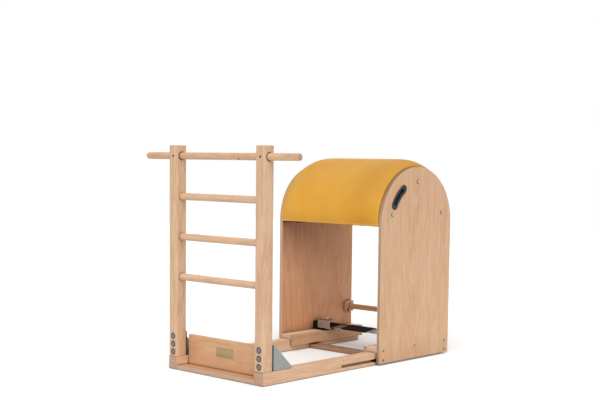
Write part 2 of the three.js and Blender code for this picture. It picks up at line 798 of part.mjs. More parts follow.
// Folded housing: a channel open towards the middle, with an end wall and a top that
// narrows to the mouth
function buildLockHousings() {
  const outline = new THREE.Shape();
  const wall = housingSheet;
  const bend = housingRound;
  const rearOfMouth = lockFrontX + housingMouthDepth;
  outline.moveTo(rearOfMouth, housingTop);
  outline.absarc(lockFrontX + bend, housingTop - bend, bend, Math.PI / 2, Math.PI, false);
  outline.absarc(lockFrontX + bend, housingBottom + bend, bend, Math.PI, 3 * Math.PI / 2, false);
  outline.lineTo(lockFrontX + housingLip, housingBottom);
  outline.lineTo(lockFrontX + housingLip, housingBottom + wall);
  outline.lineTo(lockFrontX + bend, housingBottom + wall);
  outline.lineTo(lockFrontX + wall, housingBottom + bend);
  outline.lineTo(lockFrontX + wall, housingTop - bend);
  outline.lineTo(lockFrontX + bend, housingTop - wall);
  outline.lineTo(rearOfMouth, housingTop - wall);
  outline.closePath();
  const channel = alongY(outline, housingInnerY, housingOuterY, bendArcSteps);
  const roof = new THREE.Shape();
  roof.moveTo(lockFrontX + bend, housingInnerY);
  roof.lineTo(rearOfMouth, housingInnerY);
  roof.lineTo(lockRearX, housingOuterY - housingSkewStart);
  roof.lineTo(lockRearX, housingOuterY);
  roof.lineTo(lockFrontX + bend, housingOuterY);
  roof.closePath();
  const top = alongZ(roof, housingTop - wall, housingTop);
  const end = block(
    lockFrontX + bend, lockRearX, housingOuterY - wall, housingOuterY, housingBottom, housingTop,
  );
  const pinHole = rodZ(
    pinDiameter / 2 + runningGap, pinX, pinY,
    housingTop - wall - cutOverrun, housingTop + cutOverrun, smallSides,
  );
  const pivotHole = rodY(
    pivotPinDiameter / 2 + contactGap, pivotX,
    housingOuterY - wall - cutOverrun, housingOuterY + cutOverrun, pivotZ, smallSides,
  );
  addPair("lock_housing", cut(join(channel, top, end), pinHole, pivotHole), zincSteel);
}

function buildPivotPins() {
  const inner = housingOuterY - pivotPinReach;
  const outer = housingOuterY + contactGap + pivotPinBearing;
  const pin = rodY(pivotPinDiameter / 2, pivotX, inner, outer, pivotZ, smallSides);
  addPair("pivot_pin", pin, darkSteel);
}

// Release bar: a flat strip with a hinge knuckle at each end, round its pivot pins
function buildReleaseBar() {
  const reach = housingOuterY - housingSheet - barEndClearance;
  const half = barSheet / 2;
  const section = easedOutline(-barFrontReach, barRearReach, -half, half, barSheet / 4);
  const strip = alongY(section, -reach, reach);
  const inner = reach - barKnuckleLength;
  const knuckle = rodY(barKnuckleDiameter / 2, 0, inner, reach, 0, smallSides);
  const boreRadius = pivotPinDiameter / 2 + runningGap;
  const bore = rodY(boreRadius, 0, inner - cutOverrun, reach + cutOverrun, 0, smallSides);
  const pinPlaceX = pinArm * (1 + 1 / Math.cos(tilt)) / 2;
  const holeRadius = pinDiameter / 2 + pinSlotClearance;
  const pinHole = rodZ(holeRadius, pinPlaceX, pinY, -barSheet, barSheet, smallSides);
  const whole = join(strip, knuckle, mirroredY(knuckle));
  const bar = cut(whole, bore, mirroredY(bore), pinHole, mirroredY(pinHole));
  const mesh = add("release_bar", bar, zincSteel, pivotX, 0, pivotZ);
  mesh.rotation.y = -tilt;
}

// Rubber grip: a thin sleeve on the release bar, ribbed above and below
function buildBarGrip() {
  const front = -barFrontReach - contactGap - gripEdgeWall;
  const rear = barRearReach + contactGap + gripEdgeWall;
  const half = barSheet / 2 + contactGap + gripWall;
  const upper = [[front, half - gripEdgeWall], [front + gripEdgeWall, half]];
  const ribPitch = (rear - front - 2 * gripEdgeWall) / gripRibCount;
  for (let i = 0; i < gripRibCount; i += 1) {
    const start = front + gripEdgeWall + i * ribPitch;
    upper.push([start + ribPitch / 4, half + gripRibHeight]);
    upper.push([start + ribPitch * 3 / 4, half + gripRibHeight]);
    upper.push([start + ribPitch, half]);
  }
  upper.push([rear, half - gripEdgeWall]);
  const lower = upper.map(([x, z]) => [x, -z]).reverse();
  const shape = new THREE.Shape([...upper, ...lower].map(([x, z]) => new THREE.Vector2(x, z)));
  const sleeve = alongY(shape, gripCentreY - gripWidth / 2, gripCentreY + gripWidth / 2);
  const channelHalf = barSheet / 2 + contactGap;
  const channel = block(
    -barFrontReach - contactGap, barRearReach + contactGap,
    gripCentreY - gripWidth, gripCentreY + gripWidth, -channelHalf, channelHalf,
  );
  const mesh = add("bar_grip", cut(sleeve, channel), gripRubber, pivotX, 0, pivotZ);
  mesh.rotation.y = -tilt;
}

// Height of the underside of the pin collar when the bar is held up
function collarBottom() {
  const farEdge = pinArm + collarDiameter / 2;
  return pivotZ + farEdge * Math.tan(tilt) + barSheet / 2 / Math.cos(tilt) + contactGap;
}

function buildLockPins() {
  const radius = pinDiameter / 2;
  const collar = collarDiameter / 2;
  const tip = railHeight + pinTipClearance;
  const seat = collarBottom();
  const head = housingTop + pinHeadStand;
  const collarTop = seat + collarThickness;
  const profile = [
    [0, tip], [radius - pinTipRound, tip], [radius, tip + pinTipRound],
    [radius, seat], [collar, seat], [collar, collarTop], [radius, collarTop],
    [radius, head - pinTipRound], [radius - pinTipRound, head], [0, head],
  ];
  addPair("lock_pin", turned(profile, smallSides).translate(pinX, pinY, 0), zincSteel);
}

// Least gap of the spring to itself, measured between points of wire about a turn apart
function leastSelfGap(centres, turnSteps) {
  let least = Infinity;
  for (let i = 0; i < centres.length; i += 1) {
    for (let j = i + Math.round(turnSteps / 2); j < centres.length; j += 1) {
      least = Math.min(least, centres[i].distanceTo(centres[j]));
    }
  }
  return least - springWire;
}

// Spring between the collar and the housing top, one unbroken helix
function buildLockSprings() {
  const bottom = collarBottom() + collarThickness + contactGap + springWire / 2;
  const top = housingTop - housingSheet - contactGap - springWire / 2;
  const steps = Math.round(springTurns * springStepsPerTurn);
  const turn = 2 * Math.PI / springStepsPerTurn;
  const radius = springDiameter / 2;
  const centres = [];
  const positions = [];
  for (let i = 0; i <= steps; i += 1) {
    const angle = i * turn;
    const z = bottom + (top - bottom) * i / steps;
    const outward = new THREE.Vector3(Math.cos(angle), Math.sin(angle), 0);
    const centre = outward.clone().multiplyScalar(radius).setZ(z);
    centres.push(centre);
    for (let k = 0; k < springSides; k += 1) {
      const around = 2 * Math.PI * k / springSides;
      const point = centre.clone().addScaledVector(outward, Math.cos(around) * springWire / 2);
      positions.push(point.x, point.y, point.z + Math.sin(around) * springWire / 2);
    }
  }
  const index = [];
  for (let i = 0; i < steps; i += 1) {
    for (let k = 0; k < springSides; k += 1) {
      const a = i * springSides + k;
      const b = i * springSides + (k + 1) % springSides;
      index.push(a, a + springSides, b, b, a + springSides, b + springSides);
    }
  }
  const last = steps * springSides;
  for (let k = 1; k < springSides - 1; k += 1) {
    index.push(0, k, k + 1);
    index.push(last, last + k + 1, last + k);
  }
  const geometry = new THREE.BufferGeometry();
  geometry.setAttribute("position", new THREE.Float32BufferAttribute(positions, 3));
  geometry.setIndex(index);
  geometry.translate(pinX, pinY, 0);
  const selfGap = leastSelfGap(centres, springStepsPerTurn);
  console.log("lock spring least gap to itself, mm:", selfGap.toFixed(2));
  addPair("lock_spring", geometry, darkSteel);
}

buildRails();
buildBoards();
buildUprights();
buildRungs();
buildGussets();
buildUprightBolts();
buildSidePanels();
buildHandSlots();
buildArchBolts();
buildShell();
buildBattens();
buildPad();
buildRunners();
buildGuideBlocks();
buildRearBar();
buildLockBlocks();
buildLockHousings();
buildPivotPins();
buildReleaseBar();
buildBarGrip();
buildLockPins();
buildLockSprings();

export default model;
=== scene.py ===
import math

import bmesh
import bpy
import numpy as np
from mathutils import Matrix, Vector


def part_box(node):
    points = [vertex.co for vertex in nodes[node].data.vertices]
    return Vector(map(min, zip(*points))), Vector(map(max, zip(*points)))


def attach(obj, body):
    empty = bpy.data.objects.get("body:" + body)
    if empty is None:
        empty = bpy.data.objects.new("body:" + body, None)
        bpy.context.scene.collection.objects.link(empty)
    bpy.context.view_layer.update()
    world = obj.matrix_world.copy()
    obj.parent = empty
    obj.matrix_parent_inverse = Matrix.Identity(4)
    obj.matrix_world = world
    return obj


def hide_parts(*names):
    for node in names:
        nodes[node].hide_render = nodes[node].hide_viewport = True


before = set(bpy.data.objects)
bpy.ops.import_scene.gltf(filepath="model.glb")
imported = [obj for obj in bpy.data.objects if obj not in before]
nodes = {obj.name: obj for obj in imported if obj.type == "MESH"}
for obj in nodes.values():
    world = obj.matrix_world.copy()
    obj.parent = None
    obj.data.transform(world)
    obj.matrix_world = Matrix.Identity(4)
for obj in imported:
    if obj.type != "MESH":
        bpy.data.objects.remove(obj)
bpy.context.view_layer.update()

# The looks of a ladder barrel, built round its CAD frame. Metres, +X from the ladder to the
# barrel, +Y the left side, +Z up. The CAD solids show with their own materials. The pieces
# built here stand for the pad, the bolts and the plate, and add screws, staples and trim.
scene = bpy.context.scene
SIDES = (("left", 1), ("right", -1))

# Places read from the frame
panel_low, panel_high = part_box("side_panel_left")
PANEL_FACE = panel_high.y
ARCH_X = (panel_low.x + panel_high.x) / 2
ARCH_RADIUS = (panel_high.x - panel_low.x) / 2
ARCH_Z = panel_high.z - ARCH_RADIUS
PAD_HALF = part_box("barrel_pad")[1].y
rail_low, rail_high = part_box("base_rail_left")
RAIL_Y = (rail_low.y + rail_high.y) / 2
POST_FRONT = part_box("upright_left")[0].x
CHEEK_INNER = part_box("cheek_board_left")[0].y
BAR_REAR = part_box("release_bar")[1].x
block_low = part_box("rear_bar_block_left")[0]
plate_low, plate_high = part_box("name_plate")

# Places on the object that only the looks need
KNOT = (POST_FRONT + 0.015, -0.129, 0.9424)
BAR_BLACK_FROM = 0.165
PROUD = 0.0001  # how far thin trim stands off the face that carries it


def middle_of(node):
    """The middle of a CAD node's box."""
    low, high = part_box(node)
    return (low + high) / 2


def srgb(red, green, blue):
    """A colour written as 0 to 255 on screen, as linear light."""
    parts = [c / 255 for c in (red, green, blue)]
    linear = [p / 12.92 if p <= 0.04045 else ((p + 0.055) / 1.055) ** 2.4 for p in parts]
    return (*linear, 1.0)


def tones(*six):
    """Two colours from six such values."""
    return srgb(*six[:3]), srgb(*six[3:])


def toned(colour, factor, lift=0.0, limit=1.0):
    """A colour times a factor and lifted, up to a limit."""
    return (*[min(limit, factor * c + lift) for c in colour[:3]], 1.0)


def add_node(tree, kind, values=(), **settings):
    """The outputs of a new node. values has its inputs, in order or by name or number."""
    node = tree.nodes.new(kind)
    for name, setting in settings.items():
        setattr(node, name, setting)
    for key, value in values.items() if isinstance(values, dict) else enumerate(values):
        if isinstance(value, bpy.types.NodeSocket):
            tree.links.new(value, node.inputs[key])
        else:
            node.inputs[key].default_value = value
    return node.outputs


class Look:
    """A node material in the making, with short ways to add its nodes."""

    def __init__(self, name):
        self.material = bpy.data.materials.new(name)
        self.material.use_nodes = True
        self.tree = self.material.node_tree
        self.tree.nodes.clear()
        place = self.node("TexCoord")
        self.space, self.normal = place["Object"], place["Normal"]

    def node(self, kind, values=(), **settings):
        return add_node(self.tree, "ShaderNode" + kind, values, **settings)

    def done(self, colour, roughness, relief=None, **values):
        """Ends the material. relief is a height, a strength and a distance."""
        if relief:
            names = ("Height", "Strength", "Distance")
            values["Normal"] = self.node("Bump", dict(zip(names, relief)))[0]
        values = {name.replace("_", " "): value for name, value in values.items()}
        values.update({"Base Color": colour, "Roughness": roughness})
        self.node("OutputMaterial", (self.node("BsdfPrincipled", values)[0],))
        return self.material

    def math(self, operation, *values, clamp=False):
        return self.node("Math", values, operation=operation, use_clamp=clamp)[0]

    def times(self, value, factor):
        return self.math("MULTIPLY", value, factor)

    def scaled(self, value, factor, offset, clamp=False):
        return self.math("MULTIPLY_ADD", value, factor, offset, clamp=clamp)

    def vector(self, operation, *values):
        outputs = self.node("VectorMath", values, operation=operation)
        return outputs["Value" if operation in ("LENGTH", "DISTANCE", "DOT_PRODUCT") else "Vector"]

    def split(self, socket):
        return list(self.node("SeparateXYZ", (socket,)))

    def joined(self, x, y, z):
        return self.node("CombineXYZ", (x, y, z))[0]

    def noise(self, vector, scale, detail=2.0, roughness=0.5):
        values = {"Vector": vector, "Scale": scale, "Detail": detail, "Roughness": roughness}
        return self.node("TexNoise", values)[0]

    def grain(self, vector, stretch, detail, roughness=0.5):
        """Noise with its own rate per metre along each axis."""
        return self.noise(self.vector("MULTIPLY", vector, stretch), 1.0, detail, roughness)

    def cells(self, vector, scale, feature="F1"):
        values = {"Vector": vector, "Scale": scale}
        return self.node("TexVoronoi", values, feature=feature)["Distance"]

    def span(self, value, low, high, to_low=0.0, to_high=1.0, smooth=True):
        values = (value, low, high, to_low, to_high)
        kind = "SMOOTHSTEP" if smooth else "LINEAR"
        return self.node("MapRange", values, interpolation_type=kind)[0]

    def mix(self, factor, first, second, blend="MIX"):
        values = {0: factor, 6: first, 7: second}
        return self.node("Mix", values, data_type="RGBA", blend_type=blend)[2]

    def tint(self, colour, amount, share, target):
        """A colour drawn towards a target by a share of that amount."""
        return self.mix(self.times(amount, share), colour, target)

    def edge(self, radius):
        """1 where a sharp edge is within about that radius, and 0 on flats."""
        rounded = self.node("Bevel", {"Radius": radius}, samples=4)[0]
        turn = self.vector("DOT_PRODUCT", rounded, self.node("NewGeometry")["Normal"])
        return self.span(turn, 0.999, 0.93)

    def crevice(self, distance, open_at=0.82, closed_at=0.3):
        """1 deep in a corner or gap, by how much other surfaces close it in, 0 in the open."""
        closed = self.node("AmbientOcclusion", {"Distance": distance}, samples=5)["AO"]
        return self.span(closed, open_at, closed_at)

    def facing(self, axis):
        """How far the surface faces along that axis, from 0 to 1."""
        return self.math("ABSOLUTE", self.split(self.normal)["xyz".index(axis)])


# Wood. Rates are per metre, the first along the grain
AXES = {"x": (0, 1, 2), "y": (1, 2, 0), "z": (2, 0, 1)}
WANDER, COOL_PATCHES = (3.6, 7.0, 7.0), (3.0, 8.0, 8.0)
STREAKS, RUNS = (12.0, 200.0, 200.0), (6.0, 46.0, 46.0)
FLECKS, PORES = (150.0, 900.0, 900.0), (60.0, 1500.0, 1500.0)
END_PORES, RAYS = (260.0, 620.0, 620.0), (20.0, 30.0, 420.0)
PLY_PORES, CHIPS = (420.0, 420.0, 420.0), (150.0, 260.0, 260.0)
RING_RATE = 85.0
SAWN_TILT, VENEER_TILT = 0.035, 0.105
COOL = (1.0, 0.978, 0.992, 1.0)
PLY = 0.00152

BEECH = tones(226, 190, 156, 190, 145, 109)
VENEER = tones(220, 183, 147, 194, 144, 103)
END_GRAIN = tones(207, 170, 145, 163, 122, 99)
# Edge colour for wear and painted highlight, and the colour of painted shade in gaps
WORN_AND_LIT, GAP_SHADE = tones(232, 204, 172, 72, 40, 22)
# Painted shade for the rails' grooves, and a knot's own brown
GROOVE_SHADE, KNOT_BROWN = tones(128, 80, 56, 70, 42, 26)
PLY_ALONG = tones(212, 180, 152, 190, 158, 130)
PLY_ACROSS = tones(162, 131, 108, 136, 107, 86)
GLUE, FRAYED = tones(84, 62, 50, 236, 204, 178)
PLY_SKIN, PLY_TOP = tones(206, 172, 144, 128, 98, 74)
SHADE, INNER_SHADE = tones(96, 56, 36, 98, 47, 22)


def grain_space(look, grain, seed, centre):
    """Places turned so that X runs along the grain and the tree's heart is off the middle."""
    parts = look.split(look.space)
    along, side, up = AXES[grain]
    return look.joined(
        look.math("SUBTRACT", parts[along], centre[along]),
        look.math("SUBTRACT", parts[side], centre[side] + 0.021 * (seed % 5) - 0.05),
        look.math("SUBTRACT", parts[up], centre[up] + 0.07 + 0.013 * (seed % 4)),
    )


def long_grain(look, space, seed, light, dark, figure, tilt):
    """Colour of wood along its grain: growth rings cut at a slant, streaks, runs and flecks."""
    along, side, up = look.split(space)
    moved = look.vector("ADD", space, (0.731 * seed, 1.3 * seed, 0.37 * seed))
    drift = look.scaled(look.grain(moved, WANDER, 3.0, 0.55), 0.07, -0.035)
    rise = look.scaled(along, tilt, look.math("SUBTRACT", up, drift))
    radius = look.vector("LENGTH", look.joined(0.0, look.math("ADD", side, drift), rise))
    ring_step = look.scaled(radius, RING_RATE, 1.7 * seed)
    ring_place = look.joined(ring_step, look.times(along, 3.0), 0.0)
    ring = look.span(look.noise(ring_place, 1.0, 5.0, 0.64), 0.44, 0.62)
    streak = look.grain(moved, STREAKS, 4.0, 0.64)
    run = look.grain(moved, RUNS, 3.0, 0.6)
    mixed = look.times(look.span(streak, 0.32, 0.7), 0.36)
    mixed = look.scaled(ring, figure, mixed)
    mixed = look.scaled(look.span(run, 0.32, 0.7), 0.22, mixed, clamp=True)
    cool = look.span(look.grain(moved, COOL_PATCHES, 2.0), 0.4, 0.62)
    colour = look.mix(cool, look.mix(mixed, light, dark), COOL, "MULTIPLY")
    flecks = look.span(look.grain(moved, FLECKS, 1.0), 0.66, 0.74, 0.0, 0.34)
    return look.mix(flecks, colour, toned(dark, 0.5)), streak


def end_grain(look, space, light, dark):
    """Colour where the grain is cut across, with pores and rays."""
    pores = look.times(look.grain(space, END_PORES, 3.0, 0.7), 0.55)
    mixed = look.scaled(look.grain(space, RAYS, 2.0, 0.6), 0.6, pores)
    return look.mix(look.span(mixed, 0.35, 0.8), light, dark)


def finish_wood(look, colour, streak, space):
    """Paler edges from wear and painted highlight, painted shade in gaps, and an oiled surface
    with fine pores.
    """
    # Edges paler from wear and painted highlight, and painted shade deep in gaps and corners
    colour = look.tint(colour, look.edge(0.0022), 0.22, WORN_AND_LIT)
    colour = look.tint(colour, look.crevice(0.014, 0.84, 0.34), 0.82, GAP_SHADE)
    relief = (look.grain(space, PORES, 2.0, 0.6), 0.16, 0.0004)
    return look.done(colour, look.span(streak, 0.2, 0.8, 0.46, 0.6), relief,
                     Specular_IOR_Level=0.42, Coat_Weight=0.08, Coat_Roughness=0.35)


def solid_wood(node, grain, seed, pair=BEECH, figure=0.25, knot=None, ends=END_GRAIN,
               groove=False):
    """Solid timber. groove paints shade on the back wall of the rail's groove, inside its outer
    face, and knot is a place.
    """
    look = Look(f"beech_{node}")
    space = grain_space(look, grain, seed, middle_of(node))
    colour, streak = long_grain(look, space, seed, *pair, figure, SAWN_TILT)
    across = look.span(look.facing(grain), 0.72, 0.88)
    colour = look.mix(across, colour, end_grain(look, space, *ends))
    # Painted shade on the groove's back wall, where faces look sideways inside the rail's outer
    # face
    if groove:
        beside = look.math("ABSOLUTE", look.split(look.space)[1])
        outer = look.span(beside, RAIL_Y + 0.024, RAIL_Y + 0.02)
        wall = look.times(outer, look.span(beside, RAIL_Y, RAIL_Y + 0.006))
        share = look.span(look.facing("y"), 0.4, 0.6, 0.0, 0.45)
        colour = look.tint(colour, wall, share, GROOVE_SHADE)
    if knot:
        away = look.vector("DISTANCE", look.space, knot)
        colour = look.mix(look.span(away, 0.0062, 0.0036), colour, KNOT_BROWN)
    return finish_wood(look, colour, streak, space)


def plywood(node, seed, through, pair=VENEER, figure=0.25, pale=0.0, shade=0.0, inner=0):
    """Veneered plywood. through is the axis that crosses the plies, or arch for a bent board;
    pale frays its sawn edges, shade sets how much painted shade falls where it lies deep under
    other pieces, and inner, the side that it is on, paints shade on its inner face below the pad."""
    look = Look(f"ply_{node}")
    low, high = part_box(node)
    space = grain_space(look, "z" if through == "y" else "y", seed, (low + high) / 2)
    colour, streak = long_grain(look, space, seed, *pair, figure, VENEER_TILT)
    place = look.split(look.space)
    x, _, z = place
    if through == "arch":
        dx, dz = look.math("SUBTRACT", x, ARCH_X), look.math("SUBTRACT", z, ARCH_Z)
        depth = look.vector("LENGTH", look.joined(dx, 0.0, dz))
        edge = look.span(look.facing("y"), 0.5, 0.6)
    else:
        depth = place["xyz".index(through)]
        edge = look.span(look.facing(through), 0.6, 0.5)
    layer = look.math("DIVIDE", depth, PLY)
    odd = look.math("FRACT", look.times(layer, 0.5))
    glue = look.math("LESS_THAN", look.math("FRACT", layer), 0.14)
    pores = look.span(look.grain(space, PLY_PORES, 3.0, 0.7), 0.3, 0.7)
    along, across = look.mix(pores, *PLY_ALONG), look.mix(pores, *PLY_ACROSS)
    edges = look.mix(look.math("GREATER_THAN", odd, 0.5), along, across)
    edges = look.tint(edges, glue, 0.6, GLUE)
    chips = look.span(look.grain(space, CHIPS, 2.0, 0.7), 0.3, 0.55)
    edges = look.tint(edges, chips, pale, FRAYED)
    up = look.split(look.normal)
    if through == "y":
        skin = look.math("ABSOLUTE", look.math("SUBTRACT", depth, (low.y + high.y) / 2))
        edges = look.mix(look.span(skin, 0.0035, 0.0085, 0.0, 0.75), edges, PLY_SKIN)
        edges = look.mix(look.span(up[2], 0.12, 0.7, 0.0, 0.72), edges, PLY_TOP)
    colour = look.mix(edge, colour, edges)
    # Painted shade deep under other pieces
    if shade:
        colour = look.tint(colour, look.crevice(0.26, 0.62, 0.15), shade, SHADE)
    # Painted shade on the inner face below the pad, deepest towards the front, the top and nearby
    # pieces
    if inner:
        front = look.span(x, low.x, high.x, 1.0, 0.0, smooth=False)
        high_up = look.span(z, 0.38, ARCH_Z, smooth=False)
        below = look.times(high_up, look.scaled(front, 0.68, -0.04))
        near = look.crevice(0.075, 0.78, 0.3)
        under_pad_shade = look.scaled(near, 0.5, below, clamp=True)
        inside = look.span(look.times(up[1], -inner), 0.4, 0.6)
        colour = look.tint(colour, under_pad_shade, inside, INNER_SHADE)
    return finish_wood(look, colour, streak, space)


def vinyl(name):
    """Grained cover, with painted shade on top and towards its right end, a painted sheen towards
    its left end and a painted highlight along its rolled hem.
    """
    look = Look(name)
    space = look.space
    slow = look.noise(space, 5.0, 3.0, 0.55)
    cloud = look.span(slow, 0.3, 0.7)
    pebble = look.cells(look.vector("MULTIPLY", space, (1.0, 1.25, 1.0)), 620.0, "SMOOTH_F1")
    moved = look.vector("ADD", space, (0.4, 0.1, 0.7))
    crease = look.cells(moved, 330.0, "DISTANCE_TO_EDGE")
    # Painted light: the top takes darker colours and the flanks lighter ones, to even out how the
    # light falls on the cover
    shaded_top_tone = look.mix(cloud, *tones(212, 157, 64, 206, 149, 54))
    lit_flank_tone = look.mix(cloud, *tones(238, 178, 70, 232, 169, 58))
    up = look.split(look.normal)[2]
    colour = look.mix(look.span(up, -0.1, 0.85, smooth=False), lit_flank_tone, shaded_top_tone)
    _, width, height = look.split(space)
    # Painted shade towards the right end, and a pale painted sheen towards the left end
    right, left = look.span(width, -0.05, -0.24), look.span(width, 0.16, 0.27)
    colour = look.mix(right, colour, (0.875, 0.862, 0.8, 1.0), "MULTIPLY")
    colour = look.mix(left, colour, (0.97, 1.03, 1.32, 1.0), "MULTIPLY")
    # Painted highlight along the rolled hem
    hem = look.span(height, ARCH_Z + 0.004, ARCH_Z - 0.003)
    colour = look.mix(hem, colour, srgb(247, 190, 80))
    # Painted shade in the grain's creases and where the cover meets other pieces
    colour = look.tint(colour, look.span(crease, 0.06, 0.0), 0.3, srgb(176, 116, 34))
    colour = look.tint(colour, look.crevice(0.012, 0.86, 0.42), 0.8, srgb(84, 50, 18))
    relief = look.times(pebble, -0.5)
    relief = look.scaled(look.span(crease, 0.0, 0.14), 0.8, relief)
    relief = look.scaled(look.noise(space, 1900.0, 2.0, 0.6), 0.2, relief)
    return look.done(colour, look.span(slow, 0.3, 0.7, 0.52, 0.6), (relief, 0.28, 0.0005),
                     Specular_IOR_Level=0.22)


def plastic(name, pair, roughness, grain_scale, edge_wear_and_highlight, hollow=0.01):
    look = Look(name)
    spark = look.noise(look.space, grain_scale, 3.0, 0.65)
    colour = look.mix(look.span(look.noise(look.space, 22.0), 0.3, 0.7), *pair)
    # Edges paler from wear and painted highlight, and painted shade deep in hollows
    colour = look.tint(colour, look.edge(0.0012), edge_wear_and_highlight, toned(pair[1], 3.2, 0.02))
    colour = look.mix(look.crevice(hollow, 0.88, 0.42), colour, srgb(4, 4, 5))
    rough = look.span(spark, 0.3, 0.7, roughness - 0.06, roughness + 0.08)
    return look.done(colour, rough, (spark, 0.2, 0.0003), Specular_IOR_Level=0.18)


def rubber(name):
    look = Look(name)
    dust = look.noise(look.space, 60.0, 4.0, 0.7)
    colour = look.mix(look.span(dust, 0.45, 0.8), *tones(9, 9, 9, 24, 23, 22))
    relief = (look.noise(look.space, 2600.0, 2.0, 0.6), 0.25, 0.0002)
    return look.done(colour, look.span(dust, 0.3, 0.7, 0.66, 0.8), relief,
                     Specular_IOR_Level=0.16)


BRUSHED, BLOTCHES = (900.0, 12.0, 900.0), (130.0, 40.0, 130.0)


def metal(name, pair, metallic, roughness, spangle, edge_wear_and_highlight=0.3, brushed=False, corner_shade=(0.003,),
          rim=0.0011, shine=1.45, top_reflection=0.0):
    """Mottled or brushed metal, its edges paler from wear and painted highlight, with painted
    shade in its corners and a painted brown reflection on faces that look up.
    """
    look = Look(name)
    if brushed:
        flow = look.grain(look.space, BRUSHED, 3.0, 0.6)
    else:
        flow = look.noise(look.space, spangle * 2.3, 3.0, 0.6)
    cell = look.cells(look.space, spangle)
    mottle = look.scaled(cell, 0.5, look.times(flow, 0.6))
    colour = look.mix(look.span(mottle, 0.25, 0.75), *pair)
    # Painted reflection: faces that look up mirror the brown of the wood round them
    if top_reflection:
        up = look.split(look.normal)[2]
        colour = look.mix(look.span(up, 0.6, 0.9, 0.0, top_reflection), colour, srgb(78, 58, 48))
    # Edges paler from wear and painted highlight
    colour = look.tint(colour, look.edge(rim), edge_wear_and_highlight, toned(pair[1], shine, 0.05, 0.9))
    # Painted shade in corners and hollows
    colour = look.tint(colour, look.crevice(*corner_shade), 0.92, srgb(30, 21, 15))
    rough = look.span(mottle, 0.25, 0.75, roughness - 0.06, roughness + 0.08)
    return look.done(colour, rough, (flow, 0.1, 0.0003), Metallic=metallic)


def bar_steel(name):
    """Bright steel strip, black at its ends and along its rear edge, with a painted highlight
    along its edges.
    """
    look = Look(name)
    flow = look.grain(look.space, BRUSHED, 3.0, 0.6)
    blotch = look.grain(look.space, BLOTCHES, 3.0, 0.6)
    colour = look.mix(look.span(flow, 0.3, 0.7), *tones(96, 88, 82, 158, 148, 138))
    x, y, _ = look.split(look.space)
    reach = look.math("ABSOLUTE", y)
    end = look.span(reach, BAR_BLACK_FROM - 0.006, BAR_BLACK_FROM + 0.006)
    rear = look.span(x, BAR_REAR - 0.02, BAR_REAR - 0.012)
    black = look.math("MAXIMUM", end, rear)
    black = look.math("MAXIMUM", black, look.span(blotch, 0.52, 0.64, 0.0, 0.75))
    colour = look.mix(black, colour, srgb(13, 12, 12))
    # Painted highlight along the edges
    colour = look.tint(colour, look.edge(0.0012), 0.75, srgb(208, 202, 194))
    rough = look.scaled(black, 0.4, look.span(flow, 0.25, 0.75, 0.28, 0.4))
    return look.done(colour, rough, (flow, 0.1, 0.0003),
                     Metallic=look.span(black, 0.0, 1.0, 0.9, 0.0),
                     Specular_IOR_Level=look.span(black, 0.0, 1.0, 0.5, 0.05))


def hollow_dark(name):
    look = Look(name)
    speck = look.noise(look.space, 900.0)
    colour = look.mix(speck, *tones(16, 15, 15, 34, 31, 29))
    return look.done(colour, look.span(speck, 0.3, 0.7, 0.7, 0.9))


# Finishes by what they are used on
TIGHT, FINE = (0.002,), (0.0022,)
VINYL = vinyl("vinyl_grain")
BLACK = plastic("black_plastic", tones(5, 5, 5, 11, 11, 11), 0.6, 1500.0, 0.2)
LINER = plastic("liner_plastic", tones(46, 52, 58, 58, 65, 71), 0.42, 1300.0, 0.3, 0.022)
RUBBER = rubber("grip_rubber")
# Zinc with a painted highlight on the housing's rim, painted shade inside the housing and a
# painted reflection on its top
ZINC = metal("zinc_spangled", tones(150, 141, 132, 180, 172, 162), 0.7, 0.4, 260.0, edge_wear_and_highlight=1.0,
             corner_shade=(0.03,), rim=0.0045, shine=2.4, top_reflection=0.7)
BAR_STEEL = bar_steel("bar_steel")
PIN_STEEL = metal("pin_steel", tones(214, 212, 208, 246, 244, 240), 0.35, 0.3, 700.0, corner_shade=TIGHT)
# Gusset paint with painted highlights on its bent edges and painted shade deep in its corners
PAINTED = metal("gusset_hammered", tones(140, 143, 144, 159, 161, 162), 0.3, 0.44, 420.0,
                edge_wear_and_highlight=0.85, corner_shade=(0.09, 0.78, 0.42))
BOLT_DARK = metal("bolt_washer", tones(72, 72, 75, 94, 93, 97), 0.55, 0.42, 500.0, edge_wear_and_highlight=0.2)
BOLT_HEAD = metal("bolt_head", tones(112, 108, 116, 146, 142, 148), 0.7, 0.36, 500.0, edge_wear_and_highlight=0.4,
                  corner_shade=TIGHT)
SET_SCREW = metal("set_screw", tones(40, 40, 44, 62, 62, 66), 0.5, 0.45, 600.0, edge_wear_and_highlight=0.2,
                  corner_shade=TIGHT)
DOME = metal("dome_steel", tones(146, 144, 142, 212, 210, 206), 0.7, 0.32, 600.0, corner_shade=FINE)
SCREW_GREY = metal("screw_grey", tones(96, 98, 102, 142, 145, 149), 0.7, 0.34, 600.0, corner_shade=FINE)
SCREW_ZINC = metal("screw_zinc", tones(168, 168, 167, 214, 214, 211), 0.75, 0.3, 600.0,
                   edge_wear_and_highlight=0.4, corner_shade=FINE)
BRASS = metal("plate_brass", tones(158, 136, 98, 180, 158, 116), 0.55, 0.4, 400.0, edge_wear_and_highlight=0.5,
              brushed=True)
# Near-black: painted shadow rings round the set screws, and the block screws
HOLLOW = hollow_dark("hollow_dark")
LINING = hollow_dark("lining_woven")


